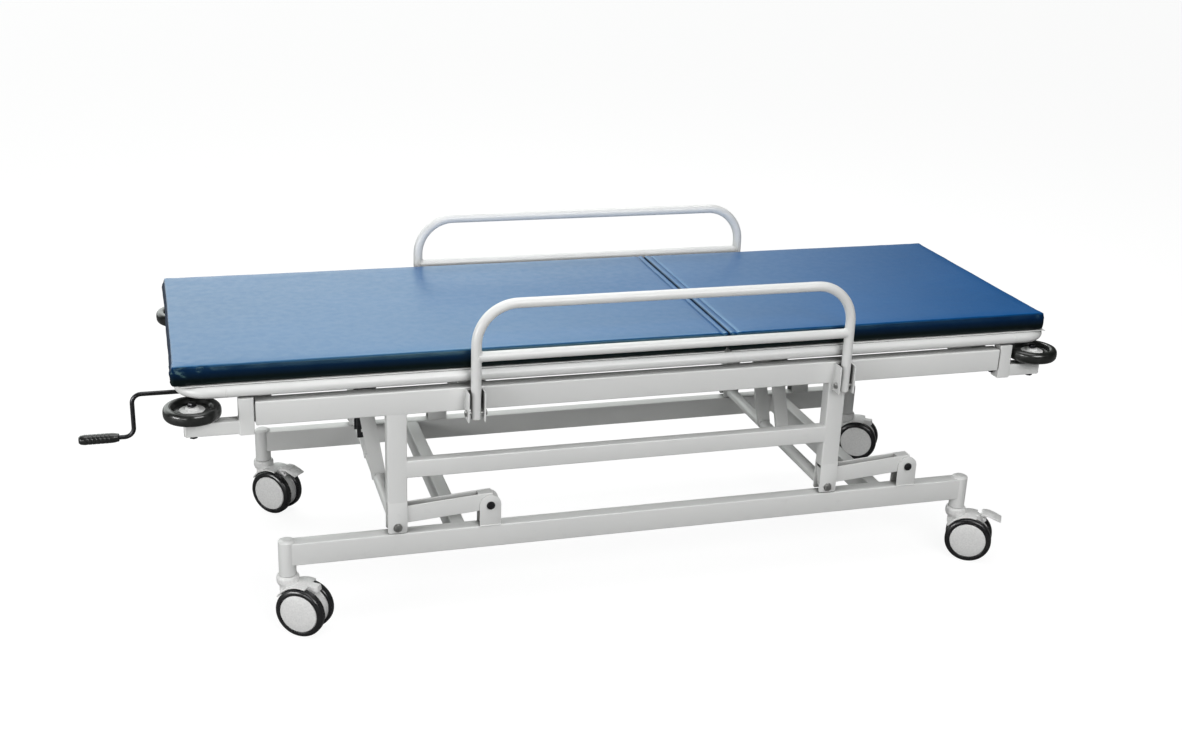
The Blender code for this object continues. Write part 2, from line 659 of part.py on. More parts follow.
def deck_grid(tag, low_x, high_x, cross, long_y):
    """Square tubes under a deck sheet: across at each X in cross, along at each Y."""
    top = DECK_TOP - 0.001
    bottom = DECK_TOP - DECK_SHEET - DECK_TUBE
    half = DECK_TUBE / 2
    edge = SIDE_Y - BED_TUBE_RADIUS - 0.002
    tubes = []
    for index, x in enumerate(cross):
        tubes.append(box(f"{tag}_across_{index}", (x - half, -edge, bottom), (x + half, edge, top)))
    for index, y in enumerate(long_y):
        tubes.append(box(f"{tag}_along_{index}", (low_x, y - half, bottom + 0.0005),
                         (high_x, y + half, top - 0.0005)))
    return tubes


def seat_deck():
    start, end = DECK_ENDS[0], SPLIT_X - 0.009
    sheet = box("seat_deck", (start, -DECK_HALF_WIDTH, DECK_TOP - DECK_SHEET),
                (end, DECK_HALF_WIDTH, DECK_TOP), WHITE)
    members = deck_grid("seat", -0.890, 0.140, (-0.890, -0.547, -0.203, 0.140), (-0.200, 0.200))
    for y in (-0.235, 0.235):
        members += hinge_lug(f"seat_lug_{y:.3f}", y, -0.035)
    weld(sheet, *members)
    cut(sheet, y_rod("seat_hinge_bore", SPLIT_X, HINGE_Z, -0.4, 0.4, HINGE_RADIUS + RUN))


def prop_pivot():
    """Where the prop is pinned to the backrest at rest, on the line from hinge to prop foot."""
    return Vector((SPLIT_X + PROP_LENGTH * math.cos(RACK_SLOPE), 0.0,
                   HINGE_Z - PROP_LENGTH * math.sin(RACK_SLOPE)))


def back_deck():
    start, end = SPLIT_X + 0.007, DECK_ENDS[1]
    sheet = box("back_deck", (start, -DECK_HALF_WIDTH, DECK_TOP - DECK_SHEET),
                (end, DECK_HALF_WIDTH, DECK_TOP), WHITE)
    members = deck_grid("back", 0.200, 0.850, (0.200, 0.850), (-0.240, -0.165, 0.165, 0.240))
    for y in (-0.225, 0.225):
        members += hinge_lug(f"back_lug_{y:.3f}", y, 0.035)
    weld(sheet, *members)
    pivot = prop_pivot()
    cut(sheet, y_rod("back_hinge_bore", SPLIT_X, HINGE_Z, -0.4, 0.4, HINGE_RADIUS + RUN),
        y_rod("prop_bore", pivot.x, pivot.z, -0.2, 0.2, PROP_ROD_RADIUS + RUN))
    bolt("backrest_hinge_rod", (SPLIT_X, -0.245, HINGE_Z), (SPLIT_X, 0.245, HINGE_Z), HINGE_RADIUS,
         0.0045, 0.004)
    y_rod("prop_pivot_rod", pivot.x, pivot.z, -0.174, 0.174, PROP_ROD_RADIUS, material=ZINC)


def back_prop():
    pivot = prop_pivot()
    along = (pivot - Vector((SPLIT_X, 0.0, HINGE_Z))).normalized()
    foot = pivot + along * PROP_LENGTH
    bars = []
    for side_name, side in SIDES.items():
        bar = box(f"prop_bar_{side_name}", (-PROP_EYE_REACH, -0.003, -0.008),
                  (PROP_LENGTH + PROP_FOOT_REACH, 0.003, 0.008))
        middle = pivot + along * (PROP_LENGTH + PROP_FOOT_REACH - PROP_EYE_REACH) / 2
        bar.location = (middle.x, side * PROP_BAR_Y, middle.z)
        bar.rotation_euler = (0.0, RACK_SLOPE, 0.0)
        bars.append(bar)
    foot_reach = PROP_BAR_Y + 0.005
    bars.append(y_rod("prop_foot", foot.x, foot.z, -foot_reach, foot_reach, 0.006))
    body = bars.pop(0)
    body.name = "back_prop"
    body.data.materials.append(ZINC)
    weld(body, *bars)
    cut(body, y_rod("prop_eye", pivot.x, pivot.z, -0.2, 0.2, PROP_ROD_RADIUS + RUN))


def prop_racks():
    """Notched flat bars; the prop's foot slides along their tops, which run through the hinge."""
    pitch = (RACK_ENDS[1] - RACK_ENDS[0] - 0.06) / RACK_NOTCHES

    def top(x):
        return HINGE_Z - (x - SPLIT_X) * math.tan(RACK_SLOPE) - 0.0066

    for side_name, side in SIDES.items():
        points = [(RACK_ENDS[0], 0.5203), (RACK_ENDS[1], 0.5203), (RACK_ENDS[1], top(RACK_ENDS[1]))]
        for index in reversed(range(RACK_NOTCHES)):
            x = RACK_ENDS[0] + 0.03 + index * pitch
            points += [(x + 0.012, top(x + 0.012)), (x, top(x) - 0.004), (x, top(x))]
        points.append((RACK_ENDS[0], top(RACK_ENDS[0])))
        rack = outline(f"prop_rack_{side_name}", points, 0.006, ZINC)
        rack.location.y = side * RACK_Y


# ---------------------------------------------------------------- soft parts
def mattresses():
    box("mattress_seat", (MATTRESS_ENDS[0], -MATTRESS_HALF_WIDTH, MATTRESS_BOTTOM),
        (SPLIT_X - 0.0065, MATTRESS_HALF_WIDTH, MATTRESS_TOP), VINYL)
    # A wedge is left out over the hinge, where the raised backrest presses the foam together.
    slope = 1 / math.tan(BACKREST_LIMIT)
    tip = SPLIT_X + 0.008
    wall = SPLIT_X + 0.046
    lip = MATTRESS_BOTTOM + 0.0006
    points = [(tip, MATTRESS_BOTTOM), (MATTRESS_ENDS[1], MATTRESS_BOTTOM), (MATTRESS_ENDS[1], MATTRESS_TOP),
              (wall, MATTRESS_TOP), (wall, lip + (wall - tip) * slope), (tip, lip)]
    outline("mattress_back", points, 2 * MATTRESS_HALF_WIDTH, VINYL)


# ---------------------------------------------------------------- side rails
def side_rails():
    bottom = RAIL_PIVOT_Z - 0.012
    for side_name, side in SIDES.items():
        y = side * RAIL_Y
        left, right = RAIL_POSTS
        rail = bent_tube(f"side_rail_{side_name}",
                         [(left, y, bottom), (left, y, RAIL_TUBE_TOP), (right, y, RAIL_TUBE_TOP),
                          (right, y, bottom)],
                         RAIL_TUBE_RADIUS, [0, RAIL_CORNER, RAIL_CORNER, 0], WHITE)
        weld(rail, x_rod(f"rail_bar_{side_name}", y, RAIL_BAR_Z, left, right, RAIL_TUBE_RADIUS * 0.985,
                         segments=12))
        for end, index in ENDS.items():
            x = RAIL_POSTS[index]
            cut(rail, x_rod(f"rail_eye_{end}_{side_name}", y, RAIL_PIVOT_Z, x - 0.03, x + 0.03,
                            RAIL_PIN_RADIUS + RUN))
            half = CHANNEL_WIDTH / 2 + GAP + 0.0045
            bolt(f"rail_pin_{end}_{side_name}", (x - half, y, RAIL_PIVOT_Z), (x + half, y, RAIL_PIVOT_Z),
                 RAIL_PIN_RADIUS, 0.0068, 0.0045)


# ---------------------------------------------------------------- casters
def caster_wheel(name, side, parent):
    """One of the twin wheels: tread, rim and domed hub cover, with a blind axle bore."""
    profile = [(0.0, 0.0355), (0.0300, 0.0335), (0.0425, 0.0300), (0.0470, WHEEL_OUTER),
               (WHEEL_RADIUS, 0.0270), (WHEEL_RADIUS, 0.0145), (0.0490, WHEEL_INNER),
               (AXLE_RADIUS + RUN, WHEEL_INNER), (AXLE_RADIUS + RUN, 0.0290), (0.0, 0.0290)]
    wheel = turned(name, profile, PLASTIC, parent)
    wheel.location = (TRAIL, 0.0, WHEEL_RADIUS)
    wheel.rotation_euler = (math.radians(-90 * side), 0.0, 0.0)
    return wheel


def brake_pedal(tag, turn):
    """A sloping tread plate on two ears, pinned across the housing's web."""
    blade = [(0.0600, 0.1155), (0.0760, 0.1150), (0.1040, 0.1055), (0.1070, 0.1085), (0.0780, 0.1205),
             (0.0600, 0.1205)]
    pedal = outline(f"brake_pedal_{tag}", blade, PEDAL_WIDTH, PLASTIC, turn)
    for index, low in enumerate((-0.0125, 0.0085)):
        weld(pedal, box(f"ear_{tag}_{index}", (0.0605, low, 0.102), (0.072, low + 0.004, 0.1175),
                        parent=turn))
    cut(pedal, y_rod(f"pedal_bore_{tag}", *PEDAL_PIVOT, -0.03, 0.03, PEDAL_PIN_RADIUS + RUN, parent=turn))


def caster_housing(tag, turn):
    """Swivel stem and collar, the web between the wheels with its axle, and a hood over them."""
    post = POST_BOTTOM - FLOOR_Z
    web = 0.008
    housing = turned(f"caster_housing_{tag}",
                     [(0.0, post + STEM_LENGTH), (STEM_RADIUS, post + STEM_LENGTH),
                      (STEM_RADIUS, post - 0.0006), (0.0215, post - 0.0006), (0.0235, post - 0.004),
                      (0.0235, HOUSING_BOTTOM), (0.0, HOUSING_BOTTOM)],
                     PLASTIC, turn, segments=16)
    weld(housing,
         box(f"web_{tag}", (-0.016, -web, 0.064), (TRAIL + 0.037, web, 0.1125), parent=turn),
         y_rod(f"core_{tag}", TRAIL, WHEEL_RADIUS, -web - 0.0006, web + 0.0006, 0.036, parent=turn,
               segments=FINE),
         y_rod(f"axle_{tag}", TRAIL, WHEEL_RADIUS, -0.0285, 0.0285, AXLE_RADIUS, parent=turn))
    hood = outline(f"hood_{tag}", arc_band(0.0590, 0.0555, math.radians(70), math.radians(150)), 0.054,
                   parent=turn)
    hood.location = (TRAIL, 0.0, WHEEL_RADIUS)
    weld(housing, hood)
    return housing


def caster(tag, x, y):
    turn = bpy.data.objects.new(f"caster_axis_{tag}", None)
    PARTS.objects.link(turn)
    turn.location = (x, y, FLOOR_Z)
    turn.rotation_euler = (0.0, 0.0, -math.radians(CASTER_TURN[tag]))
    housing = caster_housing(tag, turn)
    for side_name, side in (("outer", -1), ("inner", 1)):
        caster_wheel(f"caster_wheel_{tag}_{side_name}", side, turn)
    if tag in BRAKED_CASTERS:
        weld(housing, y_rod(f"pedal_pin_{tag}", *PEDAL_PIVOT, -0.014, 0.014, PEDAL_PIN_RADIUS, parent=turn))
        brake_pedal(tag, turn)


def casters():
    for end, sign in (("foot", -1), ("head", 1)):
        for side_name, side in SIDES.items():
            caster(f"{end}_{side_name}", sign * BASE_LENGTH / 2, side * SIDE_Y)


# ---------------------------------------------------------------- assembly
def move_to_origin():
    for item in bpy.data.objects:
        if item.parent is None:
            item.location += Vector(LAYOUT_SHIFT)


def main():
    base_frame()
    arm_bolts()
    for end in ENDS:
        lift_arm(end)
    tie_bar()
    screw_drive()
    crank()
    upper_frame()
    bed_tube()
    bumpers()
    seat_deck()
    back_deck()
    back_prop()
    prop_racks()
    mattresses()
    side_rails()
    casters()
    move_to_origin()


main()
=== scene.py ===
"""The stretcher trolley's looks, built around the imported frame. Metres, +Z up."""

import json
import math

import bmesh
import bpy
import numpy as np
from mathutils import Matrix, Vector, noise
from mathutils.bvhtree import BVHTree

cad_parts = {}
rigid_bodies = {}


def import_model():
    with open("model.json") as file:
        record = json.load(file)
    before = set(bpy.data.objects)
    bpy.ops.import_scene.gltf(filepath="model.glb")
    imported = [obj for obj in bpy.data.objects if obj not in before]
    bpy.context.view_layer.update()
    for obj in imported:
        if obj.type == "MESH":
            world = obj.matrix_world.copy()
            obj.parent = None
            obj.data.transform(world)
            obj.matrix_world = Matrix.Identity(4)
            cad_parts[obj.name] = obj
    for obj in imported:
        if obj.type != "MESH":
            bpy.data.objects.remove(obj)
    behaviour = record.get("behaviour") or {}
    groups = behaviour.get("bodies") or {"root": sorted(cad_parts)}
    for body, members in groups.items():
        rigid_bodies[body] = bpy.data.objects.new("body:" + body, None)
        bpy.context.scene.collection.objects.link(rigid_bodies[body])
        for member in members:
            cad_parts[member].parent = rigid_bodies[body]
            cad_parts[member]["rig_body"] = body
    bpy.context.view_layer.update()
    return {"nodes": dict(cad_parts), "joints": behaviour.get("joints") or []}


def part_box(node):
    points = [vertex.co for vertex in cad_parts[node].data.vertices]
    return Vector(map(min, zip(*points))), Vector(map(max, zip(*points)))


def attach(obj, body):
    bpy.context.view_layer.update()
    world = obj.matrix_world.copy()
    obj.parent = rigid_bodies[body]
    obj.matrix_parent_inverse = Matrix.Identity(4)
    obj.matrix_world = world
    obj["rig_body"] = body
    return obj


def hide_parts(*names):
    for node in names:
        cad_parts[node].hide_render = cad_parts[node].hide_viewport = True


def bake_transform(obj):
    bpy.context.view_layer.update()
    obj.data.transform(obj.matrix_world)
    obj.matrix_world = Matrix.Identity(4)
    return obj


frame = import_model()

# -------- places, from the frame
JOINT = {joint["name"]: joint for joint in frame["joints"]}
SIDES = {"near": -1, "far": 1}
ENDS = {"foot": -1, "head": 1}
CORNERS = [(end, side) for end in ENDS for side in SIDES]


def layout_offset():
    """From the layout's centre, between the four caster posts, to the frame's origin."""
    swivels = [Vector(JOINT[f"caster_{end}_{side}_swivel"]["pos_m"]) for end, side in CORNERS]
    offset = sum(swivels, Vector()) / len(swivels)
    low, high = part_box("arm_bolt_foot_near")
    offset.z = (low.z + high.z) / 2 - ARM_BOLT_Z
    return offset


ARM_BOLT_Z = 0.2545          # the arm bolts' height in the layout
OFFSET = layout_offset()
FLOOR_Z = -OFFSET.z          # the floor's height in the layout


def joint_at(name):
    return Vector(JOINT[name]["pos_m"]) - OFFSET


def box(node):
    """A node's lowest and highest corners, in the layout."""
    low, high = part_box(node)
    return low - OFFSET, high - OFFSET


def centre(node):
    low, high = box(node)
    return (low + high) / 2


POST_X, SIDE_Y = joint_at("caster_head_far_swivel").xy
LEG_PIVOT = {end: centre(f"leg_shaft_{end}") for end in ENDS}
BASE_PIVOT = {end: centre(f"arm_bolt_{end}_near") for end in ENDS}
LEVER_PIN = {end: centre(f"lever_pin_{end}") for end in ENDS}
BUMPER_AT = {(end, side): centre(f"bumper_{end}_{side}") for end, side in CORNERS}
RAIL_PIN = {(end, side): centre(f"rail_pin_{end}_{side}") for end, side in CORNERS}
HINGE = joint_at("backrest_tilt")
SEAT_LOW, SEAT_HIGH = box("mattress_seat")
BACK_LOW, BACK_HIGH = box("mattress_back")

# -------- sections the boxes don't give (m)
TUBE_HEIGHT = 0.05          # long tubes of the base and of the bed frame
HALF_TUBE = 0.016            # half their depth across the bed
CORNER = 0.0026              # outside corner radius of square tube
RAIL_TOP = 0.207
RAIL_BOTTOM = RAIL_TOP - TUBE_HEIGHT
CLEVIS_HALF = 0.023          # half a clevis plate's width
BEAM_TOP = 0.525
BEAM_BOTTOM = BEAM_TOP - TUBE_HEIGHT
BEAM_END = {"foot": -0.83, "head": 0.828}
POST_RADIUS = 0.018
POST_BOTTOM = 0.133
POST_TOP = 0.2085
LEG_WIDTH = 0.041
LEG_BOTTOM = 0.209
LEG_WALL = 0.0032
FORK_HEIGHT = 0.052          # slot above the leg's pivot
LOWER_BAR = (0.333, 0.371)
JOINT_GAP = 0.0028           # open joint between a beam's end and its post
ARM_HEIGHT = 0.038
ARM_DEPTH = 0.025
ARM_LIFT = {"leg": 0.0255, "base": 0.008}
LEVER_Y = 0.06
CROSS_SETBACK = 0.064
CROSS_MEMBER_X = (-0.812, -0.375, 0.305, 0.797)
WHEEL_RADIUS = JOINT["caster_head_far_roll"]["pos_m"][2]
BED_TUBE_RADIUS = 0.0125
BED_CORNER = 0.055
RAIL_TUBE_RADIUS = 0.0107
RAIL_CORNER = 0.085
RAIL_BAR_Z = 0.596
SCREW_Z = centre("lead_screw").z
WASHER = 0.0012              # a washer's thickness
DECK_TUBE = 0.02
LUG = 0.008                  # a hinge eye's width across the bed
PEDAL_PIVOT = (0.066, 0.107)  # in a caster's own axes
CHANNEL = {"width": 0.037, "depth": 0.0325, "plate": 0.003, "low": 0.459, "high": 0.522}


def configured(thing, **settings):
    """The thing itself, with these of its properties set."""
    for name, value in settings.items():
        setattr(thing, name, value)
    return thing


# -------- materials
class Nodes:
    """A node tree, with short ways to add nodes and join them."""

    def __init__(self, tree):
        self.tree = tree

    def add(self, kind, inputs=None, **settings):
        """Adds a node; its inputs go by name or number."""
        node = configured(self.tree.nodes.new(kind), **settings)
        for name, value in (inputs or {}).items():
            self.give(node.inputs[name], value)
        return node

    def give(self, socket, value):
        """Joins or sets a socket; a colour may be given as red, green and blue."""
        if isinstance(value, bpy.types.NodeSocket):
            self.tree.links.new(value, socket)
        elif socket.type == "RGBA":
            socket.default_value = (*value[:3], 1)
        else:
            socket.default_value = value


class Finish(Nodes):
    """A material around one Principled BSDF."""

    def __init__(self, name, colour, roughness, metallic=0):
        self.material = bpy.data.materials.new(name)
        self.material.use_nodes = True
        super().__init__(self.material.node_tree)
        self.surface = self.tree.nodes["Principled BSDF"]
        self.place = self.add("ShaderNodeTexCoord").outputs["Object"]
        self.put({"Base Color": colour, "Roughness": roughness, "Metallic": metallic})

    def put(self, inputs):
        for name, value in inputs.items():
            self.give(self.surface.inputs[name], value)

    def noise(self, scale, detail=3, stretch=(1, 1, 1)):
        place = self.add("ShaderNodeMapping", {"Vector": self.place, "Scale": stretch})
        inputs = {"Vector": place.outputs["Vector"], "Scale": scale, "Detail": detail}
        return self.add("ShaderNodeTexNoise", inputs).outputs["Fac"]

    def cells(self, scale):
        inputs = {"Vector": self.place, "Scale": scale}
        return self.add("ShaderNodeTexVoronoi", inputs).outputs["Distance"]

    def span(self, value, low, high, start=0.3, end=0.7):
        inputs = {"Value": value, "From Min": start, "From Max": end, "To Min": low, "To Max": high}
        return self.add("ShaderNodeMapRange", inputs).outputs["Result"]

    def painted_shade_mask(self, reach):
        """0 in tight corners and 1 on open faces, from ambient occlusion; the mask for painted shade in
        corners.
        """
        open_share = self.add("ShaderNodeAmbientOcclusion", {"Distance": reach}, samples=6).outputs["AO"]
        return self.span(open_share, 0, 1, 0.12, 0.62)

    def blend(self, share, first, second):
        return self.add("ShaderNodeMix", {0: share, 6: first, 7: second}, data_type="RGBA").outputs[2]

    def bump(self, height, strength, distance, below=None):
        inputs = {"Height": height, "Strength": strength, "Distance": distance}
        if below is not None:
            inputs["Normal"] = below
        return self.add("ShaderNodeBump", inputs).outputs["Normal"]


def powder_coat():
    """Off-white powder coat: faint orange peel, slightly greyer scuffs, and painted shade in tight corners.
    """
    skin = Finish("white_powder_coat", (0.8, 0.805, 0.795), 0.38)
    scuffs = skin.span(skin.noise(38, 8), 0, 0.5, 0.66, 0.9)
    drift = skin.span(skin.noise(2.5, 2), 0, 1)
    clean = skin.blend(drift, (0.775, 0.78, 0.772), (0.815, 0.82, 0.808))
    coat = skin.blend(scuffs, clean, (0.66, 0.665, 0.66))
    # Painted shade: tight corners and gaps are darkened towards (0.16, 0.16, 0.155).
    skin.put({"Base Color": skin.blend(skin.painted_shade_mask(0.05), (0.16, 0.16, 0.155), coat),
              "Roughness": skin.span(skin.noise(24, 5), 0.32, 0.47),
              "Coat Weight": 0.25,
              "Coat Roughness": 0.18,
              "Normal": skin.bump(skin.noise(850, 2), 0.16, 0.0003)})
    return skin.material


def blue_vinyl():
    """Glossy coated fabric: blue, with painted shade that turns the sides dark navy and near black towards
    the bottom; fine grain, soft waves from the foam.
    """
    skin = Finish("blue_vinyl", (0.003, 0.088, 0.3), 0.3)
    drift = skin.span(skin.noise(3, 3), 0, 1)
    top = skin.blend(drift, (0.002, 0.084, 0.285), (0.004, 0.094, 0.315))
    share = skin.add("ShaderNodeAttribute", attribute_name="top_share").outputs["Fac"]
    height = skin.add("ShaderNodeAttribute", attribute_name="height_share").outputs["Fac"]
    # Painted shade: by the rest-pose top_share the sides take dark navy instead of the top's blue, darker
    # towards the bottom by height_share.
    side = skin.blend(skin.span(height, 0, 1, 0.32, 0.8), (0.001, 0.0018, 0.0034),
                      (0.0012, 0.014, 0.055))
    skin.put({"Base Color": skin.blend(share, side, top),
              "Roughness": skin.span(skin.noise(60, 4), 0.3, 0.38),
              "Specular IOR Level": skin.span(share, 0.25, 0.72, 0, 1),
              # Painted reflection colour: the specular tint gives the reflections a green cast that stands in
              # for tinted light.
              "Specular Tint": (0.46, 1, 0.84),
              "Coat Weight": skin.span(share, 0.1, 0.25, 0, 1),
              "Coat Roughness": 0.2})
    waves = skin.bump(skin.noise(6, 2, (1, 1.6, 1)), 0.22, 0.004)
    grain = skin.bump(skin.cells(1300), 0.08, 0.0003, waves)
    skin.put({"Normal": skin.bump(skin.noise(420, 3), 0.08, 0.0004, grain),
              "Coat Normal": waves})
    return skin.material


def rubber(name, colour, roughness, coat):
    """Black rubber with a dusty bloom and a fine moulded skin."""
    skin = Finish(name, colour, roughness)
    bloom = skin.span(skin.noise(45, 6), 0, 1, 0.45, 0.8)
    dusty = tuple(channel + 0.01 for channel in colour)
    skin.put({"Base Color": skin.blend(bloom, colour, dusty),
              "Roughness": skin.span(skin.noise(90, 4), roughness - 0.07, roughness + 0.09),
              "Coat Weight": coat,
              "Coat Roughness": 0.12,
              "Normal": skin.bump(skin.noise(1100, 2), 0.12, 0.0002)})
    return skin.material


def light_plastic():
    """Pale grey moulded plastic with a fine spark-eroded texture."""
    skin = Finish("light_plastic", (0.76, 0.76, 0.75), 0.36)
    speckle = skin.span(skin.noise(260, 5), 0, 1, 0.35, 0.75)
    skin.put({"Base Color": skin.blend(speckle, (0.86, 0.86, 0.85), (0.74, 0.74, 0.735)),
              "Roughness": skin.span(skin.noise(30, 4), 0.3, 0.44),
              "Normal": skin.bump(skin.noise(1500, 2), 0.15, 0.0002)})
    return skin.material


def metal(name, colour, roughness, stretch):
    """Bare or plated steel with fine drawn streaks."""
    skin = Finish(name, colour, roughness, 1)
    streaks = skin.noise(120, 5, stretch)
    shade = tuple(channel * 0.62 for channel in colour)
    skin.put({"Base Color": skin.blend(skin.span(streaks, 0, 1), colour, shade),
              "Roughness": skin.span(skin.noise(50, 5), roughness - 0.08, roughness + 0.12),
              "Normal": skin.bump(streaks, 0.12, 0.0002)})
    return skin.material


def thread_cotton():
    """Navy sewing thread with a light and dark twist."""
    skin = Finish("seam_thread", (0.012, 0.045, 0.13), 0.7)
    twist = skin.noise(500)
    skin.put({"Base Color": skin.blend(twist, (0.01, 0.04, 0.12), (0.03, 0.09, 0.2))})
    return skin.material


WHITE = powder_coat()
VINYL = blue_vinyl()
RUBBER = rubber("black_rubber", (0.006, 0.007, 0.006), 0.34, 0.8)
TREAD = rubber("black_tread", (0.008, 0.008, 0.009), 0.3, 0.5)
PLASTIC = light_plastic()
ZINC = metal("zinc_steel", (0.56, 0.56, 0.55), 0.34, (1, 6, 1))
STEEL = metal("dark_steel", (0.085, 0.085, 0.09), 0.34, (0.2, 4, 4))
THREAD = thread_cotton()


# -------- pieces and shapes
def in_scene(name, data):
    made = bpy.data.objects.new(name, data)
    bpy.context.scene.collection.objects.link(made)
    return made


def linked(name, shape, material):
    """An object with a bmesh's faces; the bmesh is used up."""
    mesh = bpy.data.meshes.new(name)
    shape.to_mesh(mesh)
    shape.free()
    mesh.materials.append(material)
    return in_scene(name, mesh)


def piece(name, shapes, material, body=None, stands_for=(), sharp=35, shift=OFFSET, place=Matrix()):
    """One object from one or more bmeshes in a place of the layout, moved to the frame."""
    whole = bmesh.new()
    for shape in shapes:
        part = bpy.data.meshes.new("part")
        shape.to_mesh(part)
        shape.free()
        whole.from_mesh(part)
        bpy.data.meshes.remove(part)
    whole.transform(Matrix.Translation(shift) @ place)
    made = linked(name, whole, material)
    made.data.shade_smooth()
    made.data.set_sharp_from_angle(angle=math.radians(sharp))
    if body:
        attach(made, body)
    if stands_for:
        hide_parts(*stands_for)
    return made


def welded(node, parts, body):
    """Two pieces, tubes and weld beads, from parts that each give both; they stand for a node."""
    piece(f"{node}_tubes", [shape for shapes, _ in parts for shape in shapes], WHITE, body, [node])
    piece(f"{node}_welds", [weld for _, welds in parts for weld in welds], WHITE, body)


def moved(shape, matrix):
    shape.transform(matrix)
    return shape


def bevel(shape, edges, width, segments):
    bmesh.ops.bevel(shape, geom=edges, offset=width, segments=segments, profile=0.5, affect="EDGES")


def edges_along(shape, axis, least):
    """Two lists of a bmesh's edges: those that run at most the least along an axis, and the others."""
    lists = [], []
    for edge in shape.edges:
        run = abs(edge.verts[0].co[axis] - edge.verts[1].co[axis])
        lists[run > least].append(edge)
    return lists


def bar(low, high, corner=CORNER, end=0.0006):
    """A box-section bar between two corners, its long edges rounded as on drawn tube."""
    low, high = Vector(map(min, low, high)), Vector(map(max, low, high))
    size = high - low
    shape = bmesh.new()
    bmesh.ops.create_cube(shape, size=1, matrix=Matrix.Translation((low + high) / 2)
                          @ Matrix.Diagonal((*size, 1)))
    axis = max(range(3), key=lambda index: size[index])
    bevel(shape, edges_along(shape, axis, size[axis] / 2)[1], corner, 4)
    bevel(shape, edges_along(shape, axis, size[axis] / 2)[0], end, 1)
    return shape


def plate(outline, low_y, high_y, edge=0.0006):
    """A flat plate from a closed outline in X and Z, between two Y planes, with eased edges."""
    low_y, high_y = sorted((low_y, high_y))
    shape = bmesh.new()
    face = shape.faces.new([shape.verts.new((x, low_y, z)) for x, z in outline])
    grown = bmesh.ops.extrude_face_region(shape, geom=[face])["geom"]
    rims = [item for item in grown if isinstance(item, bmesh.types.BMVert)]
    bmesh.ops.translate(shape, verts=rims, vec=(0, high_y - low_y, 0))
    bmesh.ops.recalc_face_normals(shape, faces=shape.faces)
    bevel(shape, edges_along(shape, 1, (high_y - low_y) / 2)[0], edge, 2)
    return shape


def arc(middle, radius, start, end, steps=12):
    """Points on a circle in a plane, from one angle to another in degrees."""
    x, z = middle
    angles = [math.radians(start + (end - start) * step / steps) for step in range(steps + 1)]
    return [(x + radius * math.cos(angle), z + radius * math.sin(angle)) for angle in angles]


def strap(half, bottom, eye_z, at=(0, 0)):
    """Outline of an upright strap with a round top."""
    foot = [(at[0] - half, at[1] + bottom), (at[0] + half, at[1] + bottom)]
    return foot + arc((at[0], at[1] + eye_z), half, 0, 180, 20)


def fillet(points, radius, steps=4):
    """The open polyline with each inner corner rounded."""
    made = [points[0]]
    for before, corner, after in zip(points, points[1:], points[2:]):
        here = Vector(corner)
        back = Vector(before) - here
        ahead = Vector(after) - here
        reach = min(radius, back.length * 0.45, ahead.length * 0.45)
        start, end = here + back.normalized() * reach, here + ahead.normalized() * reach
        for step in range(steps + 1):
            share = step / steps
            made.append(tuple(start.lerp(here, share).lerp(here.lerp(end, share), share)))
    made.append(points[-1])
    return made


def lathe(profile, segments=48, closed=False):
    """A profile of (radius, height) turned about Z."""
    shape = bmesh.new()
    points = [shape.verts.new((radius, 0, height)) for radius, height in profile]
    edges = [shape.edges.new(pair) for pair in zip(points, points[1:])]
    if closed:
        edges.append(shape.edges.new((points[-1], points[0])))
    bmesh.ops.spin(shape, geom=points + edges, cent=(0, 0, 0), axis=(0, 0, 1), steps=segments,
                   angle=2 * math.pi, use_merge=True)
    bmesh.ops.remove_doubles(shape, verts=shape.verts, dist=0.000002)
    bmesh.ops.recalc_face_normals(shape, faces=shape.faces)
    return shape


def mirrored(profile):
    """A profile and its mirror image below, in one round."""
    return profile + [(radius, -height) for radius, height in reversed(profile)]


def ring(profile, soften, segments):
    """A closed profile with its corners eased, turned about Z."""
    return lathe(fillet(profile + [profile[0]], soften, 3)[:-1], segments, closed=True)


def along(start, end):
    """The matrix that lays +Z from start towards end."""
    start, end = Vector(start), Vector(end)
    return Matrix.Translation(start) @ (end - start).to_track_quat("Z", "Y").to_matrix().to_4x4()


def rod(start, end, radius, segments=32, edge=0.0006):
    length = (Vector(end) - Vector(start)).length
    profile = fillet([(0, length), (radius, length), (radius, 0), (0, 0)], edge)
    return moved(lathe(profile, segments), along(start, end))


def cross_rod(x, z, ends, radius, segments, edge=0.0006):
    """A rod along Y, between two Y planes."""
    return rod((x, ends[0], z), (x, ends[1], z), radius, segments, edge)


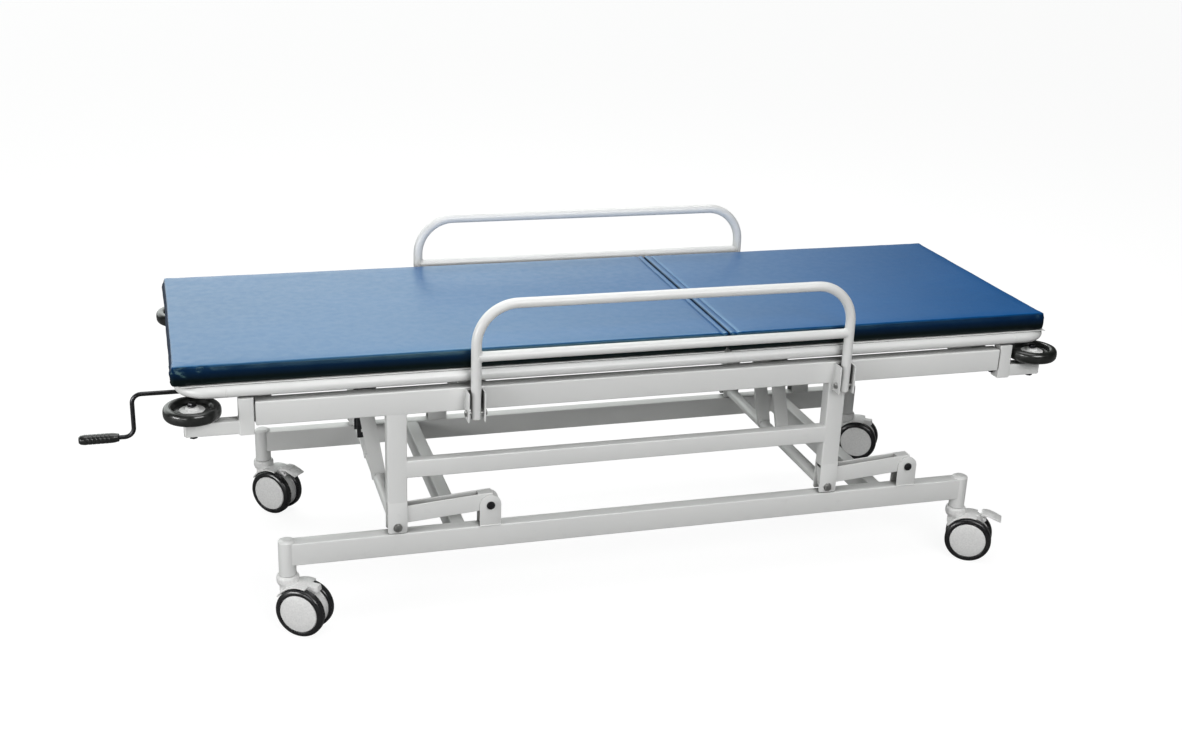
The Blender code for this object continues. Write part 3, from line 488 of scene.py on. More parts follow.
def bent_tube(corners, radius, bends, cyclic=False, sides=28, steps=14):
    """A round tube through corners, each rounded by its bend radius (0 keeps a plain end)."""
    path = []
    count = len(corners)
    for index, corner in enumerate(map(Vector, corners)):
        bend = bends[index]
        if bend == 0:
            path.append(corner)
            continue
        before = (Vector(corners[index - 1]) - corner).normalized()
        after = (Vector(corners[(index + 1) % count]) - corner).normalized()
        half = before.angle(after) / 2
        middle = corner + (before + after).normalized() * bend / math.sin(half)
        first = corner + before * bend / math.tan(half) - middle
        last = corner + after * bend / math.tan(half) - middle
        axis = first.cross(last).normalized()
        sweep = first.angle(last)
        turns = [Matrix.Rotation(sweep * step / steps, 3, axis) for step in range(steps + 1)]
        path += [middle + turn @ first for turn in turns]
    curve = configured(bpy.data.curves.new("path", "CURVE"), dimensions="3D", twist_mode="MINIMUM",
                       bevel_depth=radius, bevel_resolution=(sides - 4) // 2, use_fill_caps=not cyclic)
    spline = curve.splines.new("POLY")
    spline.points.add(len(path) - 1)
    for point, at in zip(spline.points, path):
        point.co = (*at, 1)
    spline.use_cyclic_u = cyclic
    guide = in_scene("path", curve)
    bpy.context.view_layer.update()
    mesh = bpy.data.meshes.new_from_object(guide.evaluated_get(bpy.context.evaluated_depsgraph_get()))
    bpy.data.objects.remove(guide, do_unlink=True)
    shape = bmesh.new()
    shape.from_mesh(mesh)
    bmesh.ops.remove_doubles(shape, verts=shape.verts, dist=0.00001)
    bmesh.ops.recalc_face_normals(shape, faces=shape.faces)
    return shape


def bead(start, end, radius=0.0017, ripple=0.0026):
    """A weld bead: a thin bar with the overlapping ripples that a welder leaves."""
    start, end = Vector(start), Vector(end)
    length = (end - start).length
    rings = max(4, int(length / 0.0009))
    profile = [(0, length)]
    for index in range(rings + 1):
        share = index / rings
        swell = 1 + 0.16 * math.sin(2 * math.pi * share * length / ripple)
        taper = min(1, 5 * math.sqrt(share * (1 - share)) + 0.35)
        profile.append((radius * swell * taper, length * (1 - share)))
    profile.append((0, 0))
    return moved(lathe(profile, 10), along(start, end))


def upright_bead(x, y, low, high, radius=0.0017):
    return bead((x, y, low), (x, y, high), radius)


def cross_bead(x, start, end, z):
    return bead((x, start, z), (x, end, z), 0.0015)


def hex_head(at, direction, radius, height):
    """A washer and a chamfered hexagon standing on it, from a point outward."""
    rim = radius * 1.12
    washer = [(0, WASHER), (rim, WASHER), (rim, 0), (0, 0)]
    shape = bmesh.new()
    bmesh.ops.create_cone(shape, cap_ends=True, segments=6, radius1=radius, radius2=radius, depth=height)
    bmesh.ops.translate(shape, verts=shape.verts, vec=(0, 0, WASHER + height / 2))
    top = [edge for edge in shape.edges if all(vert.co.z > height for vert in edge.verts)]
    bevel(shape, top, radius * 0.12, 2)
    place = along(at, Vector(at) + Vector(direction))
    return [moved(lathe(fillet(washer, 0.0003), 32), place), moved(shape, place)]


def fastener(node, material, body, radius):
    """Bolt, washers, head and nut in the place of a CAD bolt, along its longest side."""
    low, high = box(node)
    size = high - low
    axis = max(range(3), key=lambda index: size[index])
    middle = (low + high) / 2
    direction = Vector([1 if index == axis else 0 for index in range(3)])
    half = size[axis] / 2
    head = size[(axis + 1) % 3] / 2
    grip = half - min(0.006, half * 0.2)
    if head < 0.0075:
        grip = half - 0.0045
    shapes = [rod(middle - direction * grip, middle + direction * grip, radius, 20)]
    height = half - grip - 0.0014
    for way in (-1, 1):
        shapes += hex_head(middle + direction * grip * way, direction * way, head * 0.94, height)
    return piece(f"{node}_hex", shapes, material, body, [node])


def softened(node, material, width, sharp=30):
    """A copy of a CAD node whose edges are eased, standing for that node."""
    source = frame["nodes"][node]
    shape = bmesh.new()
    shape.from_mesh(source.data)
    shape.transform(Matrix.Translation(-OFFSET))
    bmesh.ops.remove_doubles(shape, verts=shape.verts, dist=0.00002)
    bmesh.ops.dissolve_limit(shape, angle_limit=math.radians(1), verts=shape.verts, edges=shape.edges)
    made = piece(f"{node}_finish", [shape], material, source["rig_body"], [node], sharp)
    configured(made.modifiers.new("Ease", "BEVEL"), width=width, segments=2, limit_method="ANGLE",
               angle_limit=math.radians(sharp), harden_normals=True)


# -------- base frame and lift
def caster_post(end, side):
    """The post with its cone cap, and its two welds to the long rail."""
    x, y = ENDS[end] * POST_X, side * SIDE_Y
    profile = [(0, POST_TOP + 0.0042), (POST_RADIUS * 0.62, POST_TOP + 0.004),
               (POST_RADIUS, POST_TOP), (POST_RADIUS, POST_BOTTOM), (0, POST_BOTTOM)]
    post = moved(lathe(fillet(profile, 0.0012), 40), Matrix.Translation((x, y, 0)))
    weld_x = x - ENDS[end] * POST_RADIUS * 0.58
    welds = [upright_bead(weld_x, y + way * HALF_TUBE * 0.86, RAIL_BOTTOM + 0.003, RAIL_TOP - 0.003)
             for way in (-1, 1)]
    return [post], welds


def clevis(end, side):
    """The two plates that hold a lift arm's lower end."""
    pivot = BASE_PIVOT[end]
    outline = strap(CLEVIS_HALF, RAIL_TOP - 0.004 - pivot.z, 0, (pivot.x, pivot.z))
    shapes, welds = [], []
    for wall in (-1, 1):
        outer = side * SIDE_Y + wall * (HALF_TUBE - 0.0002)
        inner = outer - wall * 0.003
        shapes.append(plate(outline, outer, inner))
        ends = [(pivot.x + way * CLEVIS_HALF, outer - wall * 0.0001, RAIL_TOP) for way in (-1, 1)]
        welds.append(bead(*ends))
    return shapes, welds


def cross_tube(end):
    x = BASE_PIVOT[end].x - CROSS_SETBACK
    tube = bar((x - 0.015, -SIDE_Y, RAIL_BOTTOM + 0.0006), (x + 0.015, SIDE_Y, RAIL_TOP - 0.0006))
    welds = [upright_bead(x + way * 0.015, side * (SIDE_Y - HALF_TUBE), RAIL_BOTTOM + 0.002, RAIL_TOP - 0.002)
             for side in SIDES.values() for way in (-1, 1)]
    return [tube], welds


def base_frame():
    rail_end = POST_X + 0.003
    parts = [cross_tube(end) for end in ENDS]
    for side in SIDES.values():
        y = side * SIDE_Y
        rail = bar((-rail_end, y - HALF_TUBE, RAIL_BOTTOM), (rail_end, y + HALF_TUBE, RAIL_TOP))
        parts.append(([rail], []))
        for end in ENDS:
            parts += [caster_post(end, side), clevis(end, side)]
    welded("base_frame", parts, "base")


def arm_channel(length):
    """A lift arm's pressed channel, open along its top between its closed ends."""
    half, wall, top = ARM_DEPTH / 2, 0.0035, ARM_HEIGHT / 2
    start, end = -0.016, length + 0.006
    shapes = [bar((start, side * half, -top), (end, side * (half - wall), top), 0.0014) for side in (-1, 1)]
    shapes.append(bar((start, -half + 0.001, -top + 0.0002), (end, half - 0.001, -top + 0.014), 0.0008))
    for low, high in ((start, start + 0.03), (end - 0.03, end)):
        corners = (low + 0.0004, -half + 0.001, -top + 0.001), (high, half - 0.001, top - 0.0006)
        shapes.append(bar(*corners, 0.0008))
    return shapes


def lift_arm(end):
    """Two channels from the legs down to the base, a torque tube and two levers up to the tie bar."""
    leg, base, pin = LEG_PIVOT[end], BASE_PIVOT[end], LEVER_PIN[end]
    start = Vector((leg.x, 0, leg.z + ARM_LIFT["leg"]))
    finish = Vector((base.x, 0, base.z + ARM_LIFT["base"]))
    length = (finish - start).length
    slope = math.atan2(finish.z - start.z, finish.x - start.x)
    lean = math.atan2(leg.x - pin.x, pin.z - leg.z)
    reach = math.hypot(leg.x - pin.x, pin.z - leg.z)
    half = ARM_DEPTH / 2
    inner = SIDE_Y - HALF_TUBE - 0.0006
    shapes = [cross_rod(leg.x, leg.z, (-SIDE_Y, SIDE_Y), 0.009, 32),
              cross_rod(leg.x, leg.z, (-inner, inner), 0.0135, 40)]
    welds = []
    for side in SIDES.values():
        y = side * SIDE_Y
        place = Matrix.Translation((start.x, y, start.z)) @ Matrix.Rotation(-slope, 4, "Y")
        shapes += [moved(shape, place) for shape in arm_channel(length)]
        shapes.append(cross_rod(leg.x, leg.z, (y - half, y + half), 0.0128, 40))
        lever_y = side * LEVER_Y
        place = Matrix.Translation((leg.x, lever_y, leg.z)) @ Matrix.Rotation(-lean, 4, "Y")
        shapes.append(moved(plate(strap(0.016, 0, reach), -0.004, 0.004), place))
        for way in (-1, 1):
            places = (y + way * half * 0.96, 0.012, 0.0095), (lever_y + way * 0.004, 0.014, 0.0115)
            for bead_y, back, rise in places:
                bead_end = (leg.x + 0.012, bead_y, leg.z + rise + 0.001)
                welds.append(bead((leg.x - back, bead_y, leg.z + rise), bead_end))
    welded(f"lift_arm_{end}", [(shapes, welds)], f"lift_arm_{end}")


def fasteners():
    for end, side in CORNERS:
        fastener(f"arm_bolt_{end}_{side}", STEEL, "base", 0.005)
        fastener(f"bumper_bolt_{end}_{side}", STEEL, "bed_frame", 0.005)
        fastener(f"rail_pin_{end}_{side}", ZINC, "bed_frame", 0.004)
    for end in ENDS:
        fastener(f"leg_shaft_{end}", ZINC, "bed_frame", 0.006)
        fastener(f"lever_pin_{end}", ZINC, f"lift_arm_{end}", 0.006)


def helix(start, end, pitch, root, crest, steps=20):
    """A closed ridge wound along X: a four-sided section whose base lies inside the core."""
    shape = bmesh.new()
    section = ((0, root), (pitch * 0.15, crest), (pitch * 0.5, crest), (pitch * 0.65, root))
    rows = []
    for index in range(int((end - start) / pitch) * steps + 1):
        angle = 2 * math.pi * index / steps
        x = start + pitch * index / steps
        across, up = math.cos(angle), math.sin(angle)
        rows.append([shape.verts.new((x + offset, radius * across, SCREW_Z + radius * up))
                     for offset, radius in section])
    for near, far in zip(rows, rows[1:]):
        for side in range(4):
            after = (side + 1) % 4
            shape.faces.new((near[side], near[after], far[after], far[side]))
    shape.faces.new(rows[0])
    shape.faces.new(rows[-1])
    bmesh.ops.recalc_face_normals(shape, faces=shape.faces)
    return shape


def screw_thread():
    """The lead screw with a real helical thread between its plain ends."""
    low, high = box("lead_screw")
    start, end = low.x + 0.036, high.x
    core_radius = 0.0068
    thread = helix(start + 0.015, end - 0.015, 0.005, core_radius - 0.0006, 0.0079)
    core = rod((start, 0, SCREW_Z), (end, 0, SCREW_Z), core_radius, 24)
    collar = rod((low.x, 0, SCREW_Z), (low.x + 0.041, 0, SCREW_Z), 0.0115, 32, 0.001)
    piece("lead_screw_thread", [core, collar, thread], STEEL, "crank", ["lead_screw"], 30)


def crank():
    low, high = box("crank_arm")
    grip_low, grip_high = box("crank_grip")
    radius = 0.0048
    arm_x = -1.064
    grip_z = low.z + radius
    corners = [(high.x, 0, SCREW_Z), (arm_x, 0, SCREW_Z), (arm_x, 0, grip_z), (low.x, 0, grip_z)]
    piece("crank_rod", [bent_tube(corners, radius, [0, 0.02, 0.02, 0])], STEEL, "crank", ["crank_arm"])
    length = grip_high.x - grip_low.x
    bore = radius + 0.0003
    outer = [(0, 0), (0.0062, 0), (0.0098, 0.004), (0.0112, 0.012)]
    for index in range(6):
        start = 0.018 + index * 0.0085
        outer += [(0.011, start), (0.0104, start + 0.0012), (0.011, start + 0.0024)]
    outer += [(0.0104, length - 0.01), (0.0088, length - 0.002), (0.008, length)]
    profile = fillet(outer, 0.0012, 3) + [(bore, length), (bore, 0.004), (0, 0.004)]
    grip = moved(lathe(profile, 36), along((grip_low.x, 0, grip_z), (grip_high.x, 0, grip_z)))
    piece("crank_grip_moulded", [grip], RUBBER, "crank_grip", ["crank_grip"])


# -------- bed frame
def upright(end, side):
    """An upright leg whose foot is a fork around the lift arm, welded to the beam and to the lower bar."""
    pivot = LEG_PIVOT[end]
    y = side * SIDE_Y
    face = y + side * HALF_TUBE
    left, right = pivot.x - LEG_WIDTH / 2, pivot.x + LEG_WIDTH / 2
    fork_top = pivot.z + FORK_HEIGHT
    depth = HALF_TUBE - 0.0003
    shapes = [bar((left, y - depth, fork_top), (right, y + depth, BEAM_BOTTOM + 0.01))]
    outline = [(left, fork_top + 0.004), (left, LEG_BOTTOM + 0.003), (left + 0.003, LEG_BOTTOM),
               (right - 0.003, LEG_BOTTOM), (right, LEG_BOTTOM + 0.003), (right, fork_top + 0.004)]
    for wall in (-1, 1):
        outer = y + wall * (HALF_TUBE - 0.00005)
        inner = outer - wall * LEG_WALL
        shapes.append(plate(outline, outer, inner, 0.0008))
    inward = right if ENDS[end] < 0 else left
    welds = [cross_bead(inward, face - side * 0.002, face - side * 0.023, z) for z in LOWER_BAR]
    weld_depth = HALF_TUBE - 0.001
    welds += [cross_bead(x, y - weld_depth, y + weld_depth, BEAM_BOTTOM) for x in (left, right)]
    return shapes, welds


def rail_channel(x, side):
    """Two thin cheeks and a short back plate that hold one foot of a side rail."""
    face = side * (SIDE_Y + HALF_TUBE)
    front = face + side * CHANNEL["depth"]
    half, thick, low, high = CHANNEL["width"] / 2, CHANNEL["plate"], CHANNEL["low"], CHANNEL["high"]
    shapes = [bar((x - half + 0.001, face - side * 0.003, 0.5),
                  (x + half - 0.001, face + side * thick, high - 0.0005), 0.0006)]
    welds = []
    for wall in (-1, 1):
        outer = x + wall * half
        shapes.append(bar((outer, face - side * 0.003, low), (outer - wall * thick, front, high), 0.0008))
        welds.append(upright_bead(outer, face, BEAM_BOTTOM + 0.002, high - 0.002, 0.0014))
    return shapes, welds


def bumper_mount(end, side):
    """The short post at a beam's end and the arm that carries the corner bumper."""
    sign = ENDS[end]
    y = side * SIDE_Y
    beam_end = BEAM_END[end]
    bumper_x = BUMPER_AT[end, "far"].x
    post_top = box("bed_tube")[0].z - 0.0003
    post = bar((beam_end + sign * 0.0002, y - 0.015, 0.456), (beam_end + sign * 0.03, y + 0.015, post_top))
    tip = bumper_x + sign * 0.018
    arm = bar((beam_end + sign * 0.005, y - 0.014, 0.459), (tip, y + 0.014, 0.487), 0.0022, 0.004)
    root = beam_end + sign * 0.03
    welds = [cross_bead(root, y - 0.014, y + 0.014, z) for z in (0.4595, 0.4865)]
    return [post, arm], welds


def beam(side):
    """A long beam, with a spigot that shows in the open joints at its ends, and the bar between the legs."""
    y = side * SIDE_Y
    face = y + side * HALF_TUBE
    foot, head = BEAM_END["foot"], BEAM_END["head"]
    spigot = HALF_TUBE - 0.006
    return [bar((foot + JOINT_GAP, y - HALF_TUBE, BEAM_BOTTOM), (head - JOINT_GAP, y + HALF_TUBE, BEAM_TOP)),
            bar((foot, y - spigot, BEAM_BOTTOM + 0.006), (head, y + spigot, BEAM_TOP - 0.006)),
            bar((LEG_PIVOT["foot"].x, face - side * 0.0004, LOWER_BAR[0]),
                (LEG_PIVOT["head"].x, face - side * 0.025, LOWER_BAR[1]))]


def cross_member(x):
    welds = [upright_bead(edge_x, side * (SIDE_Y - HALF_TUBE), 0.482, 0.518, 0.0015)
             for side in SIDES.values() for edge_x in (x - 0.02, x + 0.02)]
    return [bar((x - 0.02, -SIDE_Y, 0.48), (x + 0.02, SIDE_Y, 0.52))], welds


def upper_frame():
    parts = [cross_member(x) for x in CROSS_MEMBER_X]
    bolts = []
    for side in SIDES.values():
        parts.append((beam(side), []))
        for end in ENDS:
            channel = rail_channel(RAIL_PIN[end, "near"].x, side)
            parts += [upright(end, side), bumper_mount(end, side), channel]
        place = (BEAM_END["head"] - 0.009, side * SIDE_Y, BEAM_BOTTOM)
        bolts += hex_head(place, (0, 0, -1), 0.0055, 0.007)
    welded("upper_frame", parts, "bed_frame")
    piece("beam_end_bolts", bolts, STEEL, "bed_frame")


def bed_tube():
    low, high = box("bed_tube")
    radius = BED_TUBE_RADIUS
    z = (low.z + high.z) / 2
    left, right, y = low.x + radius, high.x - radius, high.y - radius
    corners = [(left, -y, z), (right, -y, z), (right, y, z), (left, y, z)]
    piece("bed_tube_round", [bent_tube(corners, radius, [BED_CORNER] * 4, cyclic=True, sides=32)], WHITE,
          "bed_frame", ["bed_tube"])
    seams = []
    for x in (left + BED_CORNER + 0.03, right - BED_CORNER - 0.03):
        for side in SIDES.values():
            seam = lathe([(radius - 0.0004, -0.0014), (radius + 0.0003, -0.0008), (radius + 0.0003, 0.0008),
                          (radius - 0.0004, 0.0014)], 36, closed=True)
            seams.append(moved(seam, along((x, side * y, z), (x + 1, side * y, z))))
    piece("bed_tube_joints", seams, WHITE, "bed_frame")


def bumper(end, side):
    """A thick rubber ring with a dished face and a pale hub with a hole for its bolt."""
    tag = f"bumper_{end}_{side}"
    low, high = box(tag)
    rim = (high.x - low.x) / 2
    half = (high.z - low.z) / 2
    tyre = [(0.024, half * 0.3), (rim * 0.62, half * 0.22), (rim * 0.7, half * 0.86), (rim * 0.76, half),
           (rim * 0.92, half), (rim * 0.985, half * 0.62), (rim, half * 0.2)]
    place = Matrix.Translation(centre(tag))
    piece(f"{tag}_ring", [ring(mirrored(tyre), 0.0022, 72)], RUBBER, tag, [tag], place=place)
    hub = [(0.0053, half * 0.78), (0.011, half * 0.78), (0.015, half * 0.4), (0.0248, half * 0.34)]
    piece(f"{tag}_hub", [ring(mirrored(hub), 0.0012, 48)], PLASTIC, tag, place=place)


def side_rail(side_name):
    node = f"side_rail_{side_name}"
    low, high = box(node)
    radius = RAIL_TUBE_RADIUS
    y = (low.y + high.y) / 2
    left, right, top = low.x + radius, high.x - radius, high.z - radius
    corners = [(left, y, low.z), (left, y, top), (right, y, top), (right, y, low.z)]
    tube = bent_tube(corners, radius, [0, RAIL_CORNER, RAIL_CORNER, 0], sides=32, steps=20)
    cross = rod((left, y, RAIL_BAR_Z), (right, y, RAIL_BAR_Z), radius * 0.985, 32)
    piece(f"{node}_tube", [tube, cross], WHITE, node, [node])
    rings = []
    for x, way in ((left, 1), (right, -1)):
        path = [(x + way * (radius * math.cos(math.asin(min(1, 0.97 * abs(math.sin(angle))))) + 0.0004),
                 y + radius * 0.97 * math.sin(angle), RAIL_BAR_Z + radius * 0.985 * math.cos(angle))
                for angle in (2 * math.pi * step / 36 for step in range(36))]
        rings.append(bent_tube(path, 0.0015, [0] * 36, cyclic=True, sides=8))
    piece(f"{node}_welds", rings, WHITE, node)


# -------- decks
def deck(node, across, lengthways, lugs, body, way):
    """A thin sheet on square tubes, with hinge eyes at the split on its -X (1) or +X (-1) end."""
    low, high = box(node)
    top = high.z
    sheet_start, sheet_end = (low.x, HINGE.x - 0.009) if way < 0 else (HINGE.x + 0.007, high.x)
    shapes = [bar((sheet_start, low.y, top - 0.002), (sheet_end, high.y, top), 0.0008, 0.0008)]
    edge = SIDE_Y - BED_TUBE_RADIUS - 0.002
    tube = DECK_TUBE / 2
    for x in across:
        shapes.append(bar((x - tube, -edge, top - 0.022), (x + tube, edge, top - 0.001), 0.0018))
    for y in lengthways:
        shapes.append(bar((across[0], y - tube, top - 0.0215), (across[-1], y + tube, top - 0.0015), 0.0018))
    for y in lugs:
        sides = (y - LUG / 2, y + LUG / 2)
        shapes.append(bar((HINGE.x, sides[0], HINGE.z - 0.005),
                          (HINGE.x + way * 0.035, sides[1], HINGE.z + 0.0045), 0.0008))
        shapes.append(cross_rod(HINGE.x, HINGE.z, sides, 0.0052, 28))
    piece(f"{node}_panel", shapes, WHITE, body, [node])


def decks():
    deck("seat_deck", (-0.89, -0.547, -0.203, 0.14), (-0.2, 0.2), (-0.235, 0.235), "bed_frame", -1)
    deck("back_deck", (0.2, 0.85), (-0.24, -0.165, 0.165, 0.24), (-0.225, 0.225), "backrest", 1)
    for material, eases in ((WHITE, {"tie_bar": 0.0024}), (STEEL, {"drive_nut": 0.0012}),
                            (ZINC, {"prop_rack_near": 0.0006, "prop_rack_far": 0.0006, "back_prop": 0.0006,
                                    "backrest_hinge_rod": 0.0003, "prop_pivot_rod": 0.0003,
                                    "screw_bearing_foot": 0.0012, "screw_bearing_head": 0.0012})):
        for node, width in eases.items():
            softened(node, material, width)


# -------- casters
def caster_frame(tag):
    """Local axes of a caster at rest: X trails away from the post, Y runs along the axle."""
    swivel = joint_at(f"caster_{tag}_swivel")
    axle = Vector(JOINT[f"caster_{tag}_roll"]["axis"])
    trail = axle.cross(Vector((0, 0, 1)))
    place = Matrix((trail, axle, (0, 0, 1))).transposed().to_4x4()
    place.translation = (swivel.x, swivel.y, FLOOR_Z)
    hub = joint_at(f"caster_{tag}_roll") - place.translation
    return place, hub.to_2d().length


def has_brake(tag):
    return f"caster_{tag}_brake" in JOINT


def on_axle(trail, way):
    """The matrix that lays +Z along the axle from the wheels' middle: -1 for a turned piece's near side."""
    return Matrix.Translation((trail, 0, WHEEL_RADIUS)) @ Matrix.Rotation(math.radians(90 * way), 4, "X")


def caster_housing(tag, place, trail):
    """The swivel head, the neck, the disc between the wheels and the hood over them."""
    post = POST_BOTTOM - FLOOR_Z
    head = [(0, post + 0.027), (0.008, post + 0.027), (0.008, post - 0.0006), (0.0212, post - 0.0006),
            (0.0235, post - 0.005), (0.0235, 0.1105), (0.02, 0.103), (0, 0.103)]
    shapes = [lathe(fillet(head, 0.0022), 48)]
    disc = mirrored([(0, 0.01), (0.045, 0.01), (0.0472, 0.0082)])
    shapes.append(moved(lathe(fillet(disc, 0.0015), 56), on_axle(trail, -1)))
    neck = [(-0.0165, 0.107), (-0.0165, 0.088), (-0.012, 0.07), (0.006, 0.062), (trail + 0.012, 0.08),
            (trail + 0.026, 0.092), (trail + 0.036, 0.1005), (trail + 0.034, 0.1115), (0.018, 0.1125)]
    shapes.append(plate(neck, -0.009, 0.009, 0.0022))
    hood = arc((trail, WHEEL_RADIUS), 0.0589, 76, 150, 18)
    hood += arc((trail, WHEEL_RADIUS), 0.0557, 150, 76, 18)
    shapes.append(plate(hood, -0.0268, 0.0268, 0.001))
    for way in (-1, 1):
        shapes.append(cross_rod(trail, WHEEL_RADIUS, (way * 0.0095, way * 0.0285), 0.005, 24))
    if has_brake(tag):
        shapes.append(cross_rod(*PEDAL_PIVOT, (-0.0135, 0.0135), 0.003, 20))
    node = f"caster_housing_{tag}"
    piece(f"{node}_moulded", shapes, PLASTIC, f"caster_{tag}", [node], place=place)


def caster_wheel(tag, side_name, way, place, trail):
    """A tread ring, its rim and a domed hub cover, all turned on the axle's line."""
    axle_place = place @ on_axle(trail, -way)
    outer = WHEEL_RADIUS
    tread = [(0.0412, 0.0296), (0.0424, 0.0314), (0.047, 0.0316), (outer - 0.0018, 0.0296),
             (outer, 0.0265), (outer, 0.015), (outer - 0.0022, 0.0122), (0.0482, 0.0114),
             (0.047, 0.016), (0.0412, 0.016)]
    body = f"wheels_{tag}"
    node = f"caster_wheel_{tag}_{side_name}"
    piece(f"{node}_tread", [ring(tread, 0.0016, 72)], TREAD, body, [node], place=axle_place)
    rim = [(0.006, 0.0285), (0.042, 0.0285), (0.042, 0.0162), (0.0468, 0.0155), (0.0468, 0.012),
           (0.0452, 0.0108), (0.006, 0.0108)]
    cover = [(0, 0.0355), (0.012, 0.0352), (0.025, 0.0343), (0.0352, 0.033), (0.0366, 0.0323),
             (0.0376, 0.0325), (0.0402, 0.0318), (0.0414, 0.0302), (0.0414, 0.028), (0, 0.028)]
    shapes = [ring(rim, 0.001, 64), lathe(fillet(cover, 0.0008), 64)]
    piece(f"{node}_hub", shapes, PLASTIC, body, place=axle_place)


def brake_pedal(tag, place):
    """A sloping tread plate with four grip bars, on two ears."""
    node = f"brake_pedal_{tag}"
    blade = [(0.06, 0.1172), (0.064, 0.1203), (0.078, 0.1202), (0.093, 0.1148), (0.1062, 0.1086),
             (0.1056, 0.1066), (0.1036, 0.106), (0.09, 0.1106), (0.0765, 0.1152), (0.0606, 0.1157)]
    shapes = [plate(blade, -0.0178, 0.0178, 0.001)]
    for low in (-0.0125, 0.0085):
        shapes.append(plate(strap(0.0052, 0.0112, 0, PEDAL_PIVOT), low, low + 0.004, 0.0008))
    for step in range(4):
        x, z = 0.0815 + step * 0.0052, 0.119 - step * 0.0021
        shapes.append(cross_rod(x, z, (-0.0145, 0.0145), 0.0008, 12, 0.0003))
    piece(f"{node}_moulded", shapes, PLASTIC, f"pedal_{tag}", [node], place=place)


def casters():
    for end, side in CORNERS:
        tag = f"{end}_{side}"
        place, trail = caster_frame(tag)
        caster_housing(tag, place, trail)
        caster_wheel(tag, "outer", -1, place, trail)
        caster_wheel(tag, "inner", 1, place, trail)
        if has_brake(tag):
            brake_pedal(tag, place)


# -------- mattress
VOXEL = 0.006
SWELL_LIMIT = 0.0055
INSET = 0.0058
FOAM_CORNER = 0.006
SEAM_GAP = 0.0008            # between the sections' ends at the split
FLATNESS = 0.78              # 0 keeps the whole crown of the swollen cover and 1 takes it all away
CRUMPLE_REACH = 0.16         # how far folds run from a corner
CRUMPLE_Z = SEAT_LOW.z + 0.02


def apply_modifiers(made):
    bpy.context.view_layer.update()
    graph = bpy.context.evaluated_depsgraph_get()
    mesh = bpy.data.meshes.new_from_object(made.evaluated_get(graph), depsgraph=graph)
    made.modifiers.clear()
    made.data = mesh


def vertex_values(made, name="co"):
    """Every vertex's place or "normal", one row each."""
    flat = np.empty(len(made.data.vertices) * 3)
    made.data.vertices.foreach_get(name, flat)
    return flat.reshape(-1, 3)


def set_vertices(made, points):
    made.data.vertices.foreach_set("co", points.ravel())
    made.data.update()


def foam_block(name, low, high):
    """A block a little smaller than its cover, remeshed finely enough to swell and crease."""
    inset = Vector((INSET, INSET, 0))
    block = bar(low + inset, high - inset - Vector((0, 0, INSET * 0.8)), FOAM_CORNER, FOAM_CORNER * 0.8)
    made = piece(name, [block], VINYL, shift=Vector())
    configured(made.modifiers.new("Remesh", "REMESH"), mode="VOXEL", voxel_size=VOXEL)
    apply_modifiers(made)
    return made


def swell(made):
    """Cloth under pressure fills the cover; how far a point may move is capped."""
    start = vertex_values(made)
    cloth = configured(made.modifiers.new("Cloth", "CLOTH").settings, use_pressure=True,
                       uniform_pressure_force=4, quality=4, mass=0.3)
    cloth.effector_weights.gravity = 0
    scene = bpy.context.scene
    for step in range(1, 21):
        scene.frame_set(step)
    apply_modifiers(made)
    scene.frame_set(1)
    moved_by = vertex_values(made) - start
    distance = np.linalg.norm(moved_by, axis=1)[:, None] + 1e-9
    set_vertices(made, start + moved_by / distance * SWELL_LIMIT * np.tanh(distance / SWELL_LIMIT))


def subdivide(made):
    configured(made.modifiers.new("Fine", "SUBSURF"), levels=1, render_levels=1)
    apply_modifiers(made)


def crease_height(point, corner):
    """Folded cover fabric at a corner: sharp ridges that fade out within a hand's width."""
    offset = point - corner
    reach = math.hypot(offset.x, offset.y)
    if reach > CRUMPLE_REACH:
        return 0
    fade = (1 - reach / CRUMPLE_REACH) ** 2
    place = Vector((offset.x * 28, offset.y * 28, offset.z * 60))
    folds = noise.ridged_multi_fractal(place, 0.9, 2.1, 3, 1, 2)
    return fade * (folds - 1) * 0.0016


def finish_cover(made, low, high, crumples):
    """Creases, side puckers, a flat base and an almost flat top, on the finely divided cover."""
    normals = vertex_values(made, "normal")
    points = vertex_values(made)
    middle = (low + high) / 2
    half = (high - low) / 2
    for index, point in enumerate(points):
        here = Vector(point)
        edge_x = half.x - abs(here.x - middle.x)
        edge_y = half.y - abs(here.y - middle.y)
        side_share = max(0, 1 - min(edge_x, edge_y) / 0.03)
        pucker = noise.noise(Vector((here.x * 26, here.y * 26, here.z * 9))) * 0.0013 * side_share
        soft = noise.noise(Vector((here.x * 4.2, here.y * 5.5, 3))) * 0.0011
        lift = pucker + soft
        for corner, strength in crumples:
            lift += crease_height(here, corner) * strength
        points[index] += normals[index] * lift
    points[:, 2] = np.maximum(points[:, 2], low.z + 0.0003)
    upward = np.clip((normals[:, 2] - 0.6) / 0.3, 0, 1)
    points[:, 2] += (points[:, 2].max() - points[:, 2]) * upward * FLATNESS
    set_vertices(made, points)


def square_end(made, plane, reach):
    """Stretches the cover until its end meets the plane of the split, and squares that end."""
    points = vertex_values(made)
    x = points[:, 0]
    anchor, face = (x.min(), x.max()) if reach > 0 else (x.max(), x.min())
    x = anchor + (x - anchor) * (plane - anchor) / (face - anchor)
    inner = plane - reach
    share = np.clip((x - inner) / reach, 0, 1)
    points[:, 0] = np.where(share > 0, inner + reach * (1 - (1 - share) ** 2.2), x)
    set_vertices(made, points)


